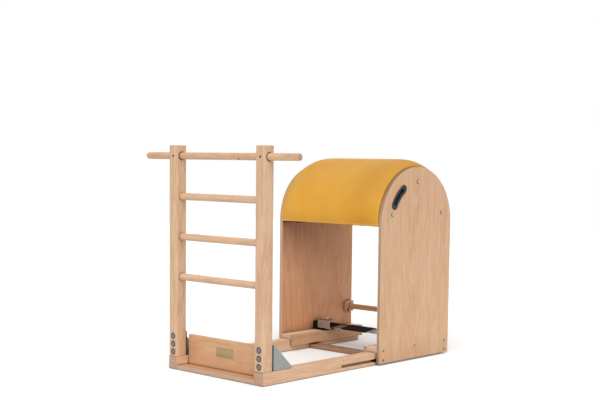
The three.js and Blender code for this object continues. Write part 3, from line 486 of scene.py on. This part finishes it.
def skin_group(degrees):
    """Geometry nodes that weld a solid's triangles and shade it smooth below that angle."""
    name = f"skin_{round(degrees)}"
    if name in bpy.data.node_groups:
        return bpy.data.node_groups[name]
    group = bpy.data.node_groups.new(name, "GeometryNodeTree")
    for way in ("INPUT", "OUTPUT"):
        group.interface.new_socket("Geometry", in_out=way, socket_type="NodeSocketGeometry")
    angle = add_node(group, "GeometryNodeInputMeshEdgeAngle")[0]
    below = add_node(group, "FunctionNodeCompare", (angle, math.radians(degrees)),
                     data_type="FLOAT", operation="LESS_THAN")[0]
    mesh = add_node(group, "NodeGroupInput")[0]
    for kind, values, settings in (
        ("MergeByDistance", {"Distance": 0.00002}, {}),
        ("RemoveAttribute", {"Name": "custom_normal"}, {}),
        ("SetShadeSmooth", {"Shade Smooth": True}, {"domain": "FACE"}),
        ("SetShadeSmooth", {"Shade Smooth": below}, {"domain": "EDGE"}),
    ):
        mesh = add_node(group, "GeometryNode" + kind, {0: mesh, **values}, **settings)[0]
    add_node(group, "NodeGroupOutput", (mesh,))
    return group


SMOOTH_BELOW = 38.0
FINE_EDGE, MOULDED_EDGE, FOLDED_EDGE = 0.001, 0.0012, 0.0007


def dress(name, material, bevel=0.0, smooth=SMOOTH_BELOW):
    """Gives a CAD node its finish, one smooth skin and, where it helps, rounded edges."""
    node = nodes[name]
    node.data.materials.clear()
    node.data.materials.append(material)
    skin = node.modifiers.new("skin", "NODES")
    skin.node_group = skin_group(smooth)
    if bevel:
        rounding = node.modifiers.new("edges", "BEVEL")
        rounding.width = bevel
        rounding.segments = 2
        rounding.limit_method = "ANGLE"
        rounding.angle_limit = math.radians(40)


def timber(node, grain, seed, bevel=0.0, **more):
    dress(node, solid_wood(node, grain, seed, **more), bevel)


def board(node, seed, through, bevel=0.0, **more):
    dress(node, plywood(node, seed, through, **more), bevel)


def dress_wood():
    """Every wooden CAD node gets its own piece of wood. The numbers seed its grain."""
    # Painted light: the left rail and both runners, faces and end grain, take lighter colours than
    # plain beech to lift the shade that falls on them
    rails = (tones(240, 206, 172, 205, 160, 123), BEECH)
    runner, ends = tones(250, 221, 190, 226, 187, 151), tones(232, 198, 170, 206, 166, 138)
    for i, (side, _) in enumerate(SIDES):
        timber(f"base_rail_{side}", "x", 3 + 2 * i, pair=rails[i], groove=True)
        timber(f"upright_{side}", "z", 5 + 3 * i, figure=0.29)
        timber(f"runner_board_{side}", "x", 9 + i, MOULDED_EDGE, pair=runner, ends=ends)
        timber(f"cheek_board_{side}", "x", 12 + i, pair=tones(223, 180, 139, 192, 142, 99))
        timber(f"rear_bar_block_{side}", "z", 15 + i)
    for i, (rung, batten) in enumerate((("upper", "rear"), ("middle", "top"), ("lower", "front"))):
        timber(f"rung_{rung}", "y", 21 + i)
        timber(f"barrel_batten_{batten}", "y", 30 + i, FINE_EDGE)
    timber("top_rung", "y", 20, pair=tones(221, 184, 150, 186, 139, 103), knot=KNOT)
    timber("rear_bar", "y", 24, pair=tones(220, 175, 134, 190, 140, 98))
    # The cross plank's darker colours are painted shade from the barrel above it
    timber("cross_plank", "y", 37, pair=tones(172, 137, 108, 142, 106, 80))
    board("side_panel_right", 41, "y", shade=0.5, inner=-1)
    # The left panel's warmer veneer is its own, and its colours are also lighter than the right's:
    # painted light against the shade under the pad
    board("side_panel_left", 44, "y", pair=tones(236, 181, 136, 204, 144, 100), figure=0.34,
          pale=0.35, shade=0.5, inner=1)
    board("kick_board", 47, "x", pair=tones(219, 174, 133, 193, 143, 102))
    board("front_step_board", 49, "z", FINE_EDGE, pair=tones(208, 163, 125, 182, 136, 100),
          pale=0.35)
    board("barrel_shell", 52, "arch")


def dress_hardware():
    for side, _ in SIDES:
        dress(f"gusset_{side}", PAINTED, FOLDED_EDGE)
        for name in ("guide_block_front", "guide_block_rear", "lock_block"):
            dress(f"{name}_{side}", BLACK, MOULDED_EDGE)
        for name, finish in (("lock_housing", ZINC), ("hand_slot_liner", LINER),
                             ("pivot_pin", BOLT_DARK), ("lock_pin", PIN_STEEL)):
            dress(f"{name}_{side}", finish)
        dress(f"lock_spring_{side}", BOLT_DARK, smooth=80.0)
    dress("release_bar", BAR_STEEL)
    dress("bar_grip", RUBBER, smooth=20.0)


def new_piece(name, points, faces, material, body, slot):
    """A mesh object that rides on a body in the material it is given. slot is not used."""
    mesh = bpy.data.meshes.new(name)
    mesh.from_pydata([tuple(p) for p in points], [], faces)
    build = bmesh.new()
    build.from_mesh(mesh)
    bmesh.ops.recalc_face_normals(build, faces=build.faces)
    build.to_mesh(mesh)
    build.free()
    mesh.materials.append(material)
    mesh.shade_smooth()
    mesh.set_sharp_from_angle(angle=math.radians(SMOOTH_BELOW))
    piece = bpy.data.objects.new(name, mesh)
    scene.collection.objects.link(piece)
    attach(piece, body)
    return piece


def stacked(rings, caps=False):
    """Points and faces of a skin over rings of as many points each. A ring of one point closes
    an end, and caps close open ones."""
    points, faces, starts = [], [], []
    for ring in rings:
        starts.append(len(points))
        points.extend(ring)
    for (low, a), (high, b) in zip(zip(starts, rings), zip(starts[1:], rings[1:])):
        count = max(len(a), len(b))
        for i in range(count):
            j = (i + 1) % count
            if len(a) == 1:
                faces.append((low, high + j, high + i))
            elif len(b) == 1:
                faces.append((low + i, low + j, high))
            else:
                faces.append((low + i, low + j, high + j, high + i))
    if caps:
        for start in (starts[0], starts[-1]):
            faces.append(tuple(start + i for i in range(len(rings[0]))))
    return points, faces


def gathered(parts):
    """Several (rings, matrix) parts as one list of points and one of faces."""
    points, faces = [], []
    for rings, matrix in parts:
        more, joined = stacked(rings)
        base = len(points)
        points.extend(matrix @ Vector(p) for p in more)
        faces.extend(tuple(base + i for i in face) for face in joined)
    return points, faces


def built(name, parts, material, body, slot):
    """A piece of (rings, matrix) parts."""
    return new_piece(name, *gathered(parts), material, body, slot)


def towards(direction, place, spin=0.0):
    """Matrix that takes +Z to a direction and the origin to a place, spun about it."""
    turn = Vector(direction).to_track_quat("Z", "Y").to_matrix().to_4x4()
    return Matrix.Translation(Vector(place)) @ turn @ Matrix.Rotation(spin, 4, "Z")


def ring_of(radius, height, sides=48):
    """A ring round +Z. radius is a number, 0 for one point, or a function of the angle."""
    if radius == 0:
        return [(0.0, 0.0, height)]
    reach = radius if callable(radius) else lambda angle: radius
    angles = [2 * math.pi * i / sides for i in range(sides)]
    return [(reach(a) * math.cos(a), reach(a) * math.sin(a), height) for a in angles]


def turned(profile, sides=48):
    """Rings of a turned form from (radius, height) pairs."""
    return [ring_of(radius, height, sides) for radius, height in profile]


def star(kind, size, angle):
    """Radius of a drive recess at an angle: a cross or a hexagon."""
    if kind == "hex":
        turn = (angle + math.pi / 6) % (math.pi / 3) - math.pi / 6
        return size / math.cos(turn)
    turn = abs((angle + math.pi / 4) % (math.pi / 2) - math.pi / 4)
    arm = 0.27 * size
    return size / math.cos(turn) if math.tan(turn) < arm / size else arm / math.sin(turn)


def recess(kind, size, levels, sides=48):
    """Rings of a drive recess from (share of its size, height) pairs."""
    return [ring_of(lambda a: share * star(kind, size, a), height, sides)
            for share, height in levels]


def head_rings(radius, rise, drive, size, depth, skirt, sides=48):
    """Rings of a screw or bolt head along +Z, from the bottom of its recess to its seat at 0."""
    floor = rise - depth
    rings = [ring_of(0, floor - 0.15 * size)]
    rings += recess(drive, size, ((0.8, floor), (1.0, rise), (1.06, rise)), sides)
    crown = [(share * radius, skirt + (rise - skirt) * height)
             for share, height in ((0.8, 0.94), (0.92, 0.8), (0.985, 0.6))]
    return rings + turned(crown + [(radius, skirt), (radius, 0), (0, 0)], sides)


def hex_rings(flat, low, high):
    """Rings of a hexagonal nut with turned corners."""
    def ring(height, limit=math.inf):
        return ring_of(lambda a: min(star("hex", flat, a), limit), height)
    ease, corner = 0.12 * flat, 1.04 * flat
    return [ring_of(0, low), ring(low, corner), ring(low + ease), ring(high - ease),
            ring(high, corner), ring_of(0, high)]


def shank_rings(radius, length, tip, ease):
    """Rings of a bolt's shank, eased to a tip."""
    side = [(radius, 0), (radius, length - ease), (tip, length)]
    return turned([(0, 0), *side, (0, length)], 24)


# Ladder bolts. The heads of the lower, middle and upper one stand each at its own turn
BOLT_SPINS = {"left": (0.2, 0.7, 0.45), "right": (0.35, 0.05, 0.6)}
BOLT_SEAT = POST_FRONT + 0.003
WASHER = ((0.0053, 0), (0.0053, 0.0008), (0.0141, 0.0008), (0.0144, 0.0005),
          (0.0144, -0.0012), (0.0053, -0.0012), (0.0053, 0))


def upright_bolts():
    """Cross-recess bolts with washers and nuts, in the posts' counterbores."""
    for side, spins in BOLT_SPINS.items():
        for level, spin in zip(("lower", "middle", "upper"), spins):
            node = f"upright_bolt_{level}_{side}"
            _, y, z = middle_of(node)
            out = towards((-1, 0, 0), (BOLT_SEAT, y, z), spin)
            back = towards((1, 0, 0), (BOLT_SEAT, y, z), spin)
            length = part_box(node)[1].x - BOLT_SEAT
            nut = hex_rings(0.0083, length - 0.0072, length - 0.0004)
            parts = [(turned(WASHER), out), (shank_rings(0.005, length, 0.0044, 0.0002), back),
                     (nut, back)]
            piece = built(f"bolt_washer_{level}_{side}", parts, BOLT_DARK, "base", "dark_steel")
            head = head_rings(0.0092, 0.0029, "cross", 0.005, 0.002, 0.001)
            parts = [(head, towards((-1, 0, 0), (BOLT_SEAT - 0.0009, y, z), spin))]
            top = built(f"bolt_head_{level}_{side}", parts, BOLT_HEAD, "base", "dark_steel")
            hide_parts(node)
            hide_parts(node)


# Dark ring round each dome head: painted shadow round the head
DOME_SHADOW_RING = ((0.006, 0), (0.006, 0.0007), (0.0095, 0.0006), (0.0098, 0.0003),
             (0.0098, 0), (0.006, 0))


def arch_bolts():
    """Dome-headed socket bolts through the side panels, each with a painted shadow ring round its
    head.
    """
    for side, sign in SIDES:
        for i, name in enumerate(("rear", "top", "front")):
            node = f"arch_bolt_{name}_{side}"
            low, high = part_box(node)
            x, _, z = (low + high) / 2
            seat = sign * (PANEL_FACE + 0.0003)
            out = towards((0, sign, 0), (x, seat, z), 0.3 + i)
            back = towards((0, -sign, 0), (x, seat, z))
            length = abs(seat - (low.y if sign > 0 else high.y))
            head = head_rings(0.0069, 0.0038, "hex", 0.0028, 0.0028, 0.0004)
            parts = [(head, out), (shank_rings(0.003, length, 0.0025, 0.0005), back)]
            piece = built(f"dome_bolt_{name}_{side}", parts, DOME, "carriage", "zinc_steel")
            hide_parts(node)
            built(f"dome_shadow_ring_{name}_{side}", [(turned(DOME_SHADOW_RING), out)], BOLT_DARK,
                  "carriage", "dark_steel")


def set_screws():
    """Set screws that hold the top rung, with their hexagon sockets and a painted shadow ring
    round each.
    """
    for side, _ in SIDES:
        node = f"rung_screw_{side}"
        low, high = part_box(node)
        _, y, z = (low + high) / 2
        radius = (high.y - low.y) / 2
        length = high.x - low.x
        rings = [ring_of(0, length - 0.0035)]
        rings += recess("hex", 0.0015, ((0.9, length - 0.003), (1.0, length - 0.0002)))
        rings += turned([(radius - 0.0006, length), (radius, length - 0.0006), (radius, 0.001),
                         (radius - 0.001, 0), (0, 0)])
        parts = [(rings, towards((-1, 0, 0), (high.x, y, z), 0.4))]
        piece = built(f"set_screw_{side}", parts, SET_SCREW, "base", "dark_steel")
        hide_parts(node)
        # A painted shadow ring round each set screw
        places = [((POST_FRONT - PROUD, y, z), (-1, 0, 0), 0.0)]
        cups_and_shadow_rings(f"set_screw_shadow_ring_{side}", places, 1.6 * radius, "base", HOLLOW)


def screw_row(name, places, radius, body, slot, material, rise=0.0014):
    """Small cross-recess screws as one piece, from (place, direction, spin) triples."""
    rings = head_rings(radius, rise, "cross", 0.62 * radius, 0.0012, 0.0002, 32)
    parts = [(rings, towards(direction, place, spin)) for place, direction, spin in places]
    return built(name, parts, material, body, slot)


def cups_and_shadow_rings(name, places, radius, body, material=BOLT_DARK):
    """Thin rings round screw heads, from the same triples as their screws: dark ones are painted
    shadow rings, bright ones cups.
    """
    rings = turned([(0.7 * radius, 0), (0.7 * radius, 0.0005), (0.96 * radius, 0.0004),
                    (radius, 0), (0.7 * radius, 0)])
    parts = [(rings, towards(direction, place)) for place, direction, _ in places]
    return built(name, parts, material, body, "dark_steel")


# Where the small screws are: x and z on the panels and cheeks, and x along the gussets' feet
PANEL_SPOTS = ((0.1178, 0.067), (0.352, 0.067), (0.5874, 0.067),
               (0.1178, 0.0234), (0.5874, 0.0234))
CHEEK_SPOTS = ((0.145, 0.071), (0.291, 0.069), (0.429, 0.068), (0.572, 0.067))
SUNK_SPOT = 2
GUSSET_REACHES = (0.04, 0.085)


def small_screws():
    for side, sign in SIDES:
        face = sign * (PANEL_FACE + PROUD)
        places = [((x, face, z), (0, sign, 0), 0.4 * i) for i, (x, z) in enumerate(PANEL_SPOTS)]
        screw_row(f"panel_screws_{side}", places, 0.005, "carriage", "zinc_steel", SCREW_GREY)
        # Dark rings round the panel screws: painted shadow round each head
        cups_and_shadow_rings(f"panel_screw_shadow_rings_{side}", places, 0.0062, "carriage")
        face = sign * (CHEEK_INNER - PROUD)
        places = [((x, face, z), (0, -sign, 0), 0.7 * i) for i, (x, z) in enumerate(CHEEK_SPOTS)]
        sunk = [places.pop(SUNK_SPOT)]
        screw_row(f"cheek_screws_{side}", places, 0.0046, "carriage", "zinc_steel", DOME)
        screw_row(f"cheek_sunk_screw_{side}", sunk, 0.0058, "carriage", "zinc_steel", SET_SCREW,
                  0.0008)
        cups_and_shadow_rings(f"cheek_screw_cup_{side}", sunk, 0.0096, "carriage", PIN_STEEL)
        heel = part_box(f"gusset_{side}")[0].x + 0.0066
        foot = rail_high.z + 0.0003 + 0.003
        places = [((heel + reach, sign * RAIL_Y, foot), (0, 0, 1), reach * 30)
                  for reach in GUSSET_REACHES]
        screw_row(f"gusset_screws_{side}", places, 0.005, "base", "painted_steel", SCREW_ZINC,
                  0.0022)
        spot = (block_low.x + 0.0075, sign * (block_low.y - PROUD), block_low.z + 0.0085)
        screw_row(f"block_screw_{side}", [(spot, (0, -sign, 0), 0.2)], 0.0072, "carriage",
                  "dark_steel", HOLLOW, 0.0009)


# Pad: its form in radius and angle about the arch, 0 degrees at the rear
HEM_RADIUS = 0.2666
EDGE_RADIUS = 0.2722
TOP_RADIUS = 0.3022
INNER_RADIUS = 0.2466
HEM_DROP = 0.008
HEM_BLEND = 0.36
HEM_ROUND = 0.0065
HEM_ANGLE = -math.asin(HEM_DROP / HEM_RADIUS)
LAST_ANGLE = math.pi - HEM_ANGLE
FLAT_HALF = 0.2
CROWN_POWER = 2.6
SHOULDER = 0.0075
LEFT_FULLNESS = 0.0076
SLACK = 0.003
SLACK_REACH = 0.03
HELD_EDGE = 0.01
FIRST_STEP = 0.012


def clipped(value):
    return min(max(value, 0.0), 1.0)


def eased(value):
    """Smooth step of a value from 0 to 1."""
    return value * value * (3 - 2 * value)


def on_arch(radius, angle, y):
    return ARCH_X + radius * math.cos(angle), y, ARCH_Z + radius * math.sin(angle)


def pad_radius(angle, across):
    """Outer radius of the pad at an angle and a distance from the middle."""
    climb = (math.sin(angle) + HEM_DROP / HEM_RADIUS) / HEM_BLEND
    fullness = 1 - (1 - clipped(climb)) ** 2
    flank = clipped((abs(across) - FLAT_HALF) / (PAD_HALF - FLAT_HALF))
    edge = HEM_RADIUS + (EDGE_RADIUS - HEM_RADIUS) * fullness
    lean = eased(clipped((across / PAD_HALF - 0.35) / 0.55))
    fuller = LEFT_FULLNESS * lean * (1 - eased(clipped((math.sin(angle) - 0.42) / 0.32)))
    return edge + fuller + (1 - flank ** CROWN_POWER) * (TOP_RADIUS - EDGE_RADIUS) * fullness


def rounded_end(distance, radius):
    """How far a surface has dropped at a distance from its end, on a quarter circle."""
    inside = max(radius - distance, 0.0)
    return radius - math.sqrt(max(radius ** 2 - inside ** 2, 0.0))


def pad_rings(steps_round, steps_across, slack):
    """Rings of the pad, one for each angle, and which of its points the cover is held at."""
    half = PAD_HALF - 0.0004
    ends = [0.0, 0.0008, 0.0022, 0.0044, SHOULDER]
    inner = np.linspace(-half + FIRST_STEP, half - FIRST_STEP, steps_across)
    across = [-half + e for e in ends] + list(inner) + [half - e for e in reversed(ends)]
    near = [e / HEM_RADIUS for e in (0.0, 0.0007, 0.002, 0.004, HEM_ROUND)]
    step = FIRST_STEP / HEM_RADIUS
    between = np.linspace(HEM_ANGLE + step, LAST_ANGLE - step, steps_round)
    angles = [HEM_ANGLE + n for n in near] + list(between)
    angles += [LAST_ANGLE - n for n in reversed(near)]
    rings, held = [], []
    for angle in angles:
        from_hem = min(angle - HEM_ANGLE, LAST_ANGLE - angle) * HEM_RADIUS
        hem = rounded_end(from_hem, HEM_ROUND)
        ring = []
        for y in across:
            side = half - abs(y)
            free = min(1.0, side / SLACK_REACH) * min(1.0, from_hem / SLACK_REACH)
            drop = rounded_end(side, SHOULDER)
            ring.append(on_arch(pad_radius(angle, y) - drop - hem - slack * free, angle, y))
            held.append(side < HELD_EDGE or hem > 0)
        ring += [on_arch(INNER_RADIUS, angle, y) for y in reversed(across)]
        held += [True] * len(across)
        rings.append(ring)
    return rings, held


def places_of(mesh):
    flat = np.zeros(len(mesh.vertices) * 3)
    mesh.vertices.foreach_get("co", flat)
    return flat.reshape(-1, 3)


def move_to(piece, places):
    piece.data.vertices.foreach_set("co", places.ravel())
    piece.data.update()


def swell(piece, held, pressure, frames, cap):
    """Blows the free part of a closed skin up with cloth, and keeps each point in the cap."""
    before = places_of(piece.data)
    group = piece.vertex_groups.new(name="held")
    group.add([i for i, pin in enumerate(held) if pin], 1.0, "REPLACE")
    cloth = piece.modifiers.new("swell", "CLOTH")
    settings = {
        "quality": 8, "mass": 0.35, "tension_stiffness": 25, "compression_stiffness": 25,
        "shear_stiffness": 12, "bending_stiffness": 4, "use_pressure": True,
        "uniform_pressure_force": pressure, "vertex_group_mass": "held",
    }
    for name, value in settings.items():
        setattr(cloth.settings, name, value)
    cloth.settings.effector_weights.gravity = 0
    cloth.collision_settings.use_collision = False
    cloth.point_cache.frame_start = 1
    cloth.point_cache.frame_end = frames
    for step in range(1, frames + 1):
        scene.frame_set(step)
    graph = bpy.context.evaluated_depsgraph_get()
    move = places_of(piece.evaluated_get(graph).to_mesh()) - before
    piece.modifiers.remove(cloth)
    piece.vertex_groups.clear()
    length = np.linalg.norm(move, axis=1, keepdims=True)
    most, mean = 1000 * float(length.max()), 1000 * float(length.mean())
    print("pad swell, mm: most", round(most, 1), "mean", round(mean, 2))
    move *= np.minimum(1.0, cap / np.maximum(length, 1e-9))
    move_to(piece, before + move)
    scene.frame_set(1)


def waves(along, length, turn=0.0):
    return np.sin(along * 2 * math.pi / length + turn)


def fading(distance, start, reach, rise):
    """1 near an edge, fading over a reach, and 0 on the edge itself."""
    return np.exp(-np.clip(distance - start, 0, None) / reach) * np.clip(distance / rise, 0, 1)


def pucker(piece):
    """Faint pulls in the cover where it is stapled at its hems and drawn in at the panels."""
    co = places_of(piece.data)
    dx, y, dz = co[:, 0] - ARCH_X, co[:, 1], co[:, 2] - ARCH_Z
    radius = np.hypot(dx, dz)
    angle = np.arctan2(dz, dx)
    angle = np.where(angle < -math.pi / 2, angle + 2 * math.pi, angle)
    hem = np.minimum(angle - HEM_ANGLE, LAST_ANGLE - angle) * HEM_RADIUS
    near_hem = fading(hem, 0.006, 0.016, 0.004)
    near_side = fading(PAD_HALF - np.abs(y), 0.006, 0.014, 0.005)
    round_arch = angle * ARCH_RADIUS
    pulls = waves(y, 0.041) + 0.6 * waves(y, 0.027, 1.3)
    drawn = waves(round_arch, 0.062, np.sign(y)) + 0.5 * waves(round_arch, 0.037)
    slow = 0.35 * np.sin(y * 9.0 + angle * 2.1) * np.sin(angle * 3.3 + 0.4)
    shift = 0.00042 * pulls * near_hem + 0.00026 * drawn * near_side
    shift += 0.0008 * slow * (1 - near_side) * (1 - near_hem)
    scale = (radius + (radius > INNER_RADIUS + 0.004) * shift) / radius
    co[:, 0] = ARCH_X + dx * scale
    co[:, 2] = ARCH_Z + dz * scale
    move_to(piece, co)


def build_pad():
    rings, held = pad_rings(96, 60, SLACK)
    points, faces = stacked(rings)
    wide = len(rings[0]) // 2
    last = (len(rings) - 1) * 2 * wide
    for i in range(wide - 1):
        mate = 2 * wide - 1 - i
        faces.append((i, mate, mate - 1, i + 1))
        faces.append((last + i, last + i + 1, last + mate - 1, last + mate))
    pad = new_piece("pad_cover", points, faces, VINYL, "carriage", "vinyl")
    swell(pad, held, pressure=4.0, frames=20, cap=0.0045)
    pucker(pad)
    smooth = pad.modifiers.new("smooth", "SUBSURF")
    smooth.levels = 1
    smooth.render_levels = 1
    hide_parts("barrel_pad")


# Section of a turned hem: radius, and how far below the hem's edge
HEM_SECTION = (
    (0.261, 0.0003), (0.2612, 0.0012), (0.26, 0.0016), (0.2352, 0.0016), (0.2346, 0.001),
    (0.2345, -0.024), (0.2349, -0.025), (0.2356, -0.0245), (0.2357, 0.0003),
)
STAPLE_RADIUS, STAPLE_PITCH, STAPLES = 0.2345, 0.024, 25
STAPLE_PATH = ((-0.0055, -0.0006), (-0.0055, 0.0004), (-0.005, 0.0009), (0.005, 0.0009),
               (0.0055, 0.0004), (0.0055, -0.0006))
WIRE = (0.0005, 0.0003)  # half its width and thickness


def staple_rings():
    """A wire staple's crown, 11 mm long, its ends turning into the board."""
    half, thick = WIRE
    first, last = STAPLE_PATH[0], STAPLE_PATH[-1]
    path = (first, *STAPLE_PATH, last)
    rings = [[(first[0], 0.0, first[1])]]
    for before, (x, z), after in zip(path, path[1:], path[2:]):
        way = Vector((after[0] - before[0], after[1] - before[1])).normalized()
        out_x, out_z = -way.y * thick, way.x * thick
        rings.append([(x + out_x, -half, z + out_z), (x + out_x, half, z + out_z),
                      (x - out_x, half, z - out_z), (x - out_x, -half, z - out_z)])
    return rings + [[(last[0], 0.0, last[1])]]


def build_hems():
    """Cover turned under the bent board at both ends of the pad, and its staples."""
    half = PAD_HALF - 0.004
    for name, end in (("rear", 0), ("front", 1)):
        def at_end(angle):
            return math.pi - angle if end else angle
        rings = []
        for y in np.linspace(-half, half, 49):
            sway = 0.0004 * math.sin(y * 150) + 0.0003 * math.sin(y * 67 + end)
            ring = []
            for radius, down in HEM_SECTION:
                angle = HEM_ANGLE - (down + (sway if down > 0.001 else 0.0)) / radius
                ring.append(on_arch(radius, at_end(angle), y))
            rings.append(ring)
        new_piece(f"pad_hem_{name}", *stacked(rings, caps=True), VINYL, "carriage", "vinyl")
        parts = []
        for i in range(STAPLES):
            angle = at_end(HEM_ANGLE + (0.014 + 0.0015 * math.sin(1.7 * i)) / STAPLE_RADIUS)
            inward = Vector((-math.cos(angle), 0.0, -math.sin(angle)))
            y = STAPLE_PITCH * (i - STAPLES // 2)
            place = Vector((ARCH_X, y, ARCH_Z)) - inward * STAPLE_RADIUS
            lean = 0.12 * math.sin(2.3 * i)
            parts.append((staple_rings(), towards(inward, place, math.pi / 2 + lean)))
        built(f"staples_{name}", parts, SCREW_ZINC, "carriage", "zinc_steel")


def build_lining():
    """Edge of the black lining under the front hem at its left end, with two loose tufts."""
    radius, top = 0.2655, ARCH_Z - HEM_DROP + 0.0006
    rings = []
    for y in np.linspace(0.145, 0.3, 63):
        fall = 0.0042 + 0.0006 * math.sin(y * 310) + 0.0005 * math.sin(y * 127)
        for depth, centre, width in ((0.0046, 0.2317, 0.0036), (0.0032, 0.1948, 0.006)):
            fall += depth * math.exp(-((y - centre) / width) ** 2)
        fall *= min(1.0, (y - 0.144) / 0.03)
        x = ARCH_X - radius - 0.0004 * math.sin(y * 210)
        rings.append([(x, y, top), (x, y, top - fall), (x + 0.0007, y, top - fall - 0.0002),
                      (x + 0.0011, y, top)])
    new_piece("hem_lining", *stacked(rings, caps=True), LINING, "carriage", "grip_rubber")


# Plate rings, all but the first: inset, corner radius and depth behind its front
PLATE_RINGS = ((0, 0.0024, 0.0003), (0.0003, 0.0022, 0), (0.0026, 0.0016, 0),
               (0.0029, 0.0015, 0.00025), (0.0036, 0.0013, 0.00025), (0.0039, 0.0012, 0))
PLATE_PIN = ((0, 0), (0.0013, 0), (0.0012, 0.0004), (0.0008, 0.0007), (0, 0.0008))
PIN_INSET, PIN_SUNK = 0.0062, 0.0001


def build_plate():
    """Bare brass plate with rounded corners, a pressed border and four small pins."""
    front = plate_low.x
    middle, half = (plate_low + plate_high) / 2, (plate_high - plate_low) / 2

    def outline(inset, corner, x):
        ring = []
        for quarter, (sy, sz) in enumerate(((1, 1), (-1, 1), (-1, -1), (1, -1))):
            for step in range(7):
                a = math.pi / 2 * (quarter + step / 6)
                ring.append((x, middle.y + sy * (half.y - inset - corner) + corner * math.cos(a),
                             middle.z + sz * (half.z - inset - corner) + corner * math.sin(a)))
        return ring

    rings = [outline(0.0, 0.0024, plate_high.x)]
    rings += [outline(inset, corner, front + depth) for inset, corner, depth in PLATE_RINGS]
    plate = new_piece("bare_plate", *stacked(rings, caps=True), BRASS, "base", "plate_brass")
    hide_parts("name_plate")
    pins = []
    for sy in (-1, 1):
        for sz in (-1, 1):
            y, z = middle.y + sy * (half.y - PIN_INSET), middle.z + sz * (half.z - PIN_INSET)
            pins.append((turned(PLATE_PIN, 20), towards((-1, 0, 0), (front + PIN_SUNK, y, z))))
    built("plate_pins", pins, BRASS, "base", "plate_brass")


def seen_ray(tree):
    """1 for rays that show the background: from the camera, a mirror or glass."""
    path = add_node(tree, "ShaderNodeLightPath")
    total = path["Is Camera Ray"]
    for name in ("Is Glossy Ray", "Is Transmission Ray"):
        total = add_node(tree, "ShaderNodeMath", (total, path[name]), operation="MAXIMUM")[0]
    return total


WHITE = (1.0,) * 4
AMBIENT, FLOOR_REACH, FLOOR_Z, FLOOR_GLOW = 0.36, 9.0, -0.0006, 0.16


def build_stage():
    """A pale floor, a little below the feet, that keeps the shadow."""
    floor = bpy.data.objects.new("floor", bpy.data.meshes.new("floor"))
    corners = [(x * FLOOR_REACH, y * FLOOR_REACH, FLOOR_Z)
               for x, y in ((-1, -1), (1, -1), (1, 1), (-1, 1))]
    floor.data.from_pydata(corners, [], [(0, 1, 2, 3)])
    scene.collection.objects.link(floor)
    look = Look("pale_floor")
    colour = look.mix(look.noise(look.space, 2.0), *tones(243, 243, 242, 246, 246, 245))
    glow = look.times(seen_ray(look.tree), FLOOR_GLOW)
    floor.data.materials.append(look.done(
        colour, 0.85, Specular_IOR_Level=0.1, Emission_Color=WHITE, Emission_Strength=glow))


def build_world():
    """Plain white all round, at full strength only where it is seen."""
    world = bpy.data.worlds.new("studio")
    scene.world = world
    world.use_nodes = True
    tree = world.node_tree
    tree.nodes.clear()
    lights = [add_node(tree, "ShaderNodeBackground", (WHITE, strength))[0]
              for strength in (AMBIENT, 1.0)]
    choice = add_node(tree, "ShaderNodeMixShader", (seen_ray(tree), *lights))
    add_node(tree, "ShaderNodeOutputWorld", (choice[0],))


def back_along(azimuth, elevation):
    """Direction to a light or camera, in degrees from -Y towards +X and up."""
    turn, rise = math.radians(azimuth), math.radians(elevation)
    flat = math.cos(rise)
    return Vector((math.sin(turn) * flat, -math.cos(turn) * flat, math.sin(rise)))


def soft_light(name, azimuth, elevation, width, level):
    """A broad, even light from a direction, as wide in degrees as a softbox looks."""
    light = bpy.data.lights.new(name, "SUN")
    light.angle = math.radians(width)
    light.energy = math.pi * level
    to_light = back_along(azimuth, elevation)
    lit = bpy.data.objects.new(name, light)
    lit.location = to_light * 4
    lit.rotation_euler = (-to_light).to_track_quat("-Z", "Y").to_euler()
    scene.collection.objects.link(lit)


# The photo's camera, fitted to its picture: level but for a small roll, with a little shift
AZIMUTH, PITCH, ROLL = -46.783, 5.394, 0.612
TARGET, DISTANCE = Vector((-0.10633, 0.0, 0.451133)), 5.359024
LENS, SHIFT = 69.45, 0.11


def build_camera():
    back = back_along(AZIMUTH, PITCH)
    right = Vector((0, 0, 1)).cross(back).normalized()
    data = bpy.data.cameras.new("view")
    data.sensor_width = 36.0
    data.sensor_fit = "HORIZONTAL"
    data.lens = LENS
    data.shift_y = SHIFT
    camera = bpy.data.objects.new("view", data)
    place = Matrix.Translation(TARGET + back * DISTANCE)
    turn = Matrix((right, back.cross(right), back)).transposed().to_4x4()
    roll = Matrix.Rotation(math.radians(ROLL), 4, "Z")
    camera.matrix_world = place @ turn @ roll
    scene.collection.objects.link(camera)
    scene.camera = camera


build_camera()
dress_wood()
dress_hardware()
upright_bolts()
arch_bolts()
set_screws()
small_screws()
build_pad()
build_hems()
build_lining()
build_plate()
build_stage()
build_world()
soft_light("key", azimuth=-52, elevation=42, width=50, level=0.54)
soft_light("top", azimuth=20, elevation=78, width=80, level=0.34)
scene.view_settings.view_transform = "Standard"
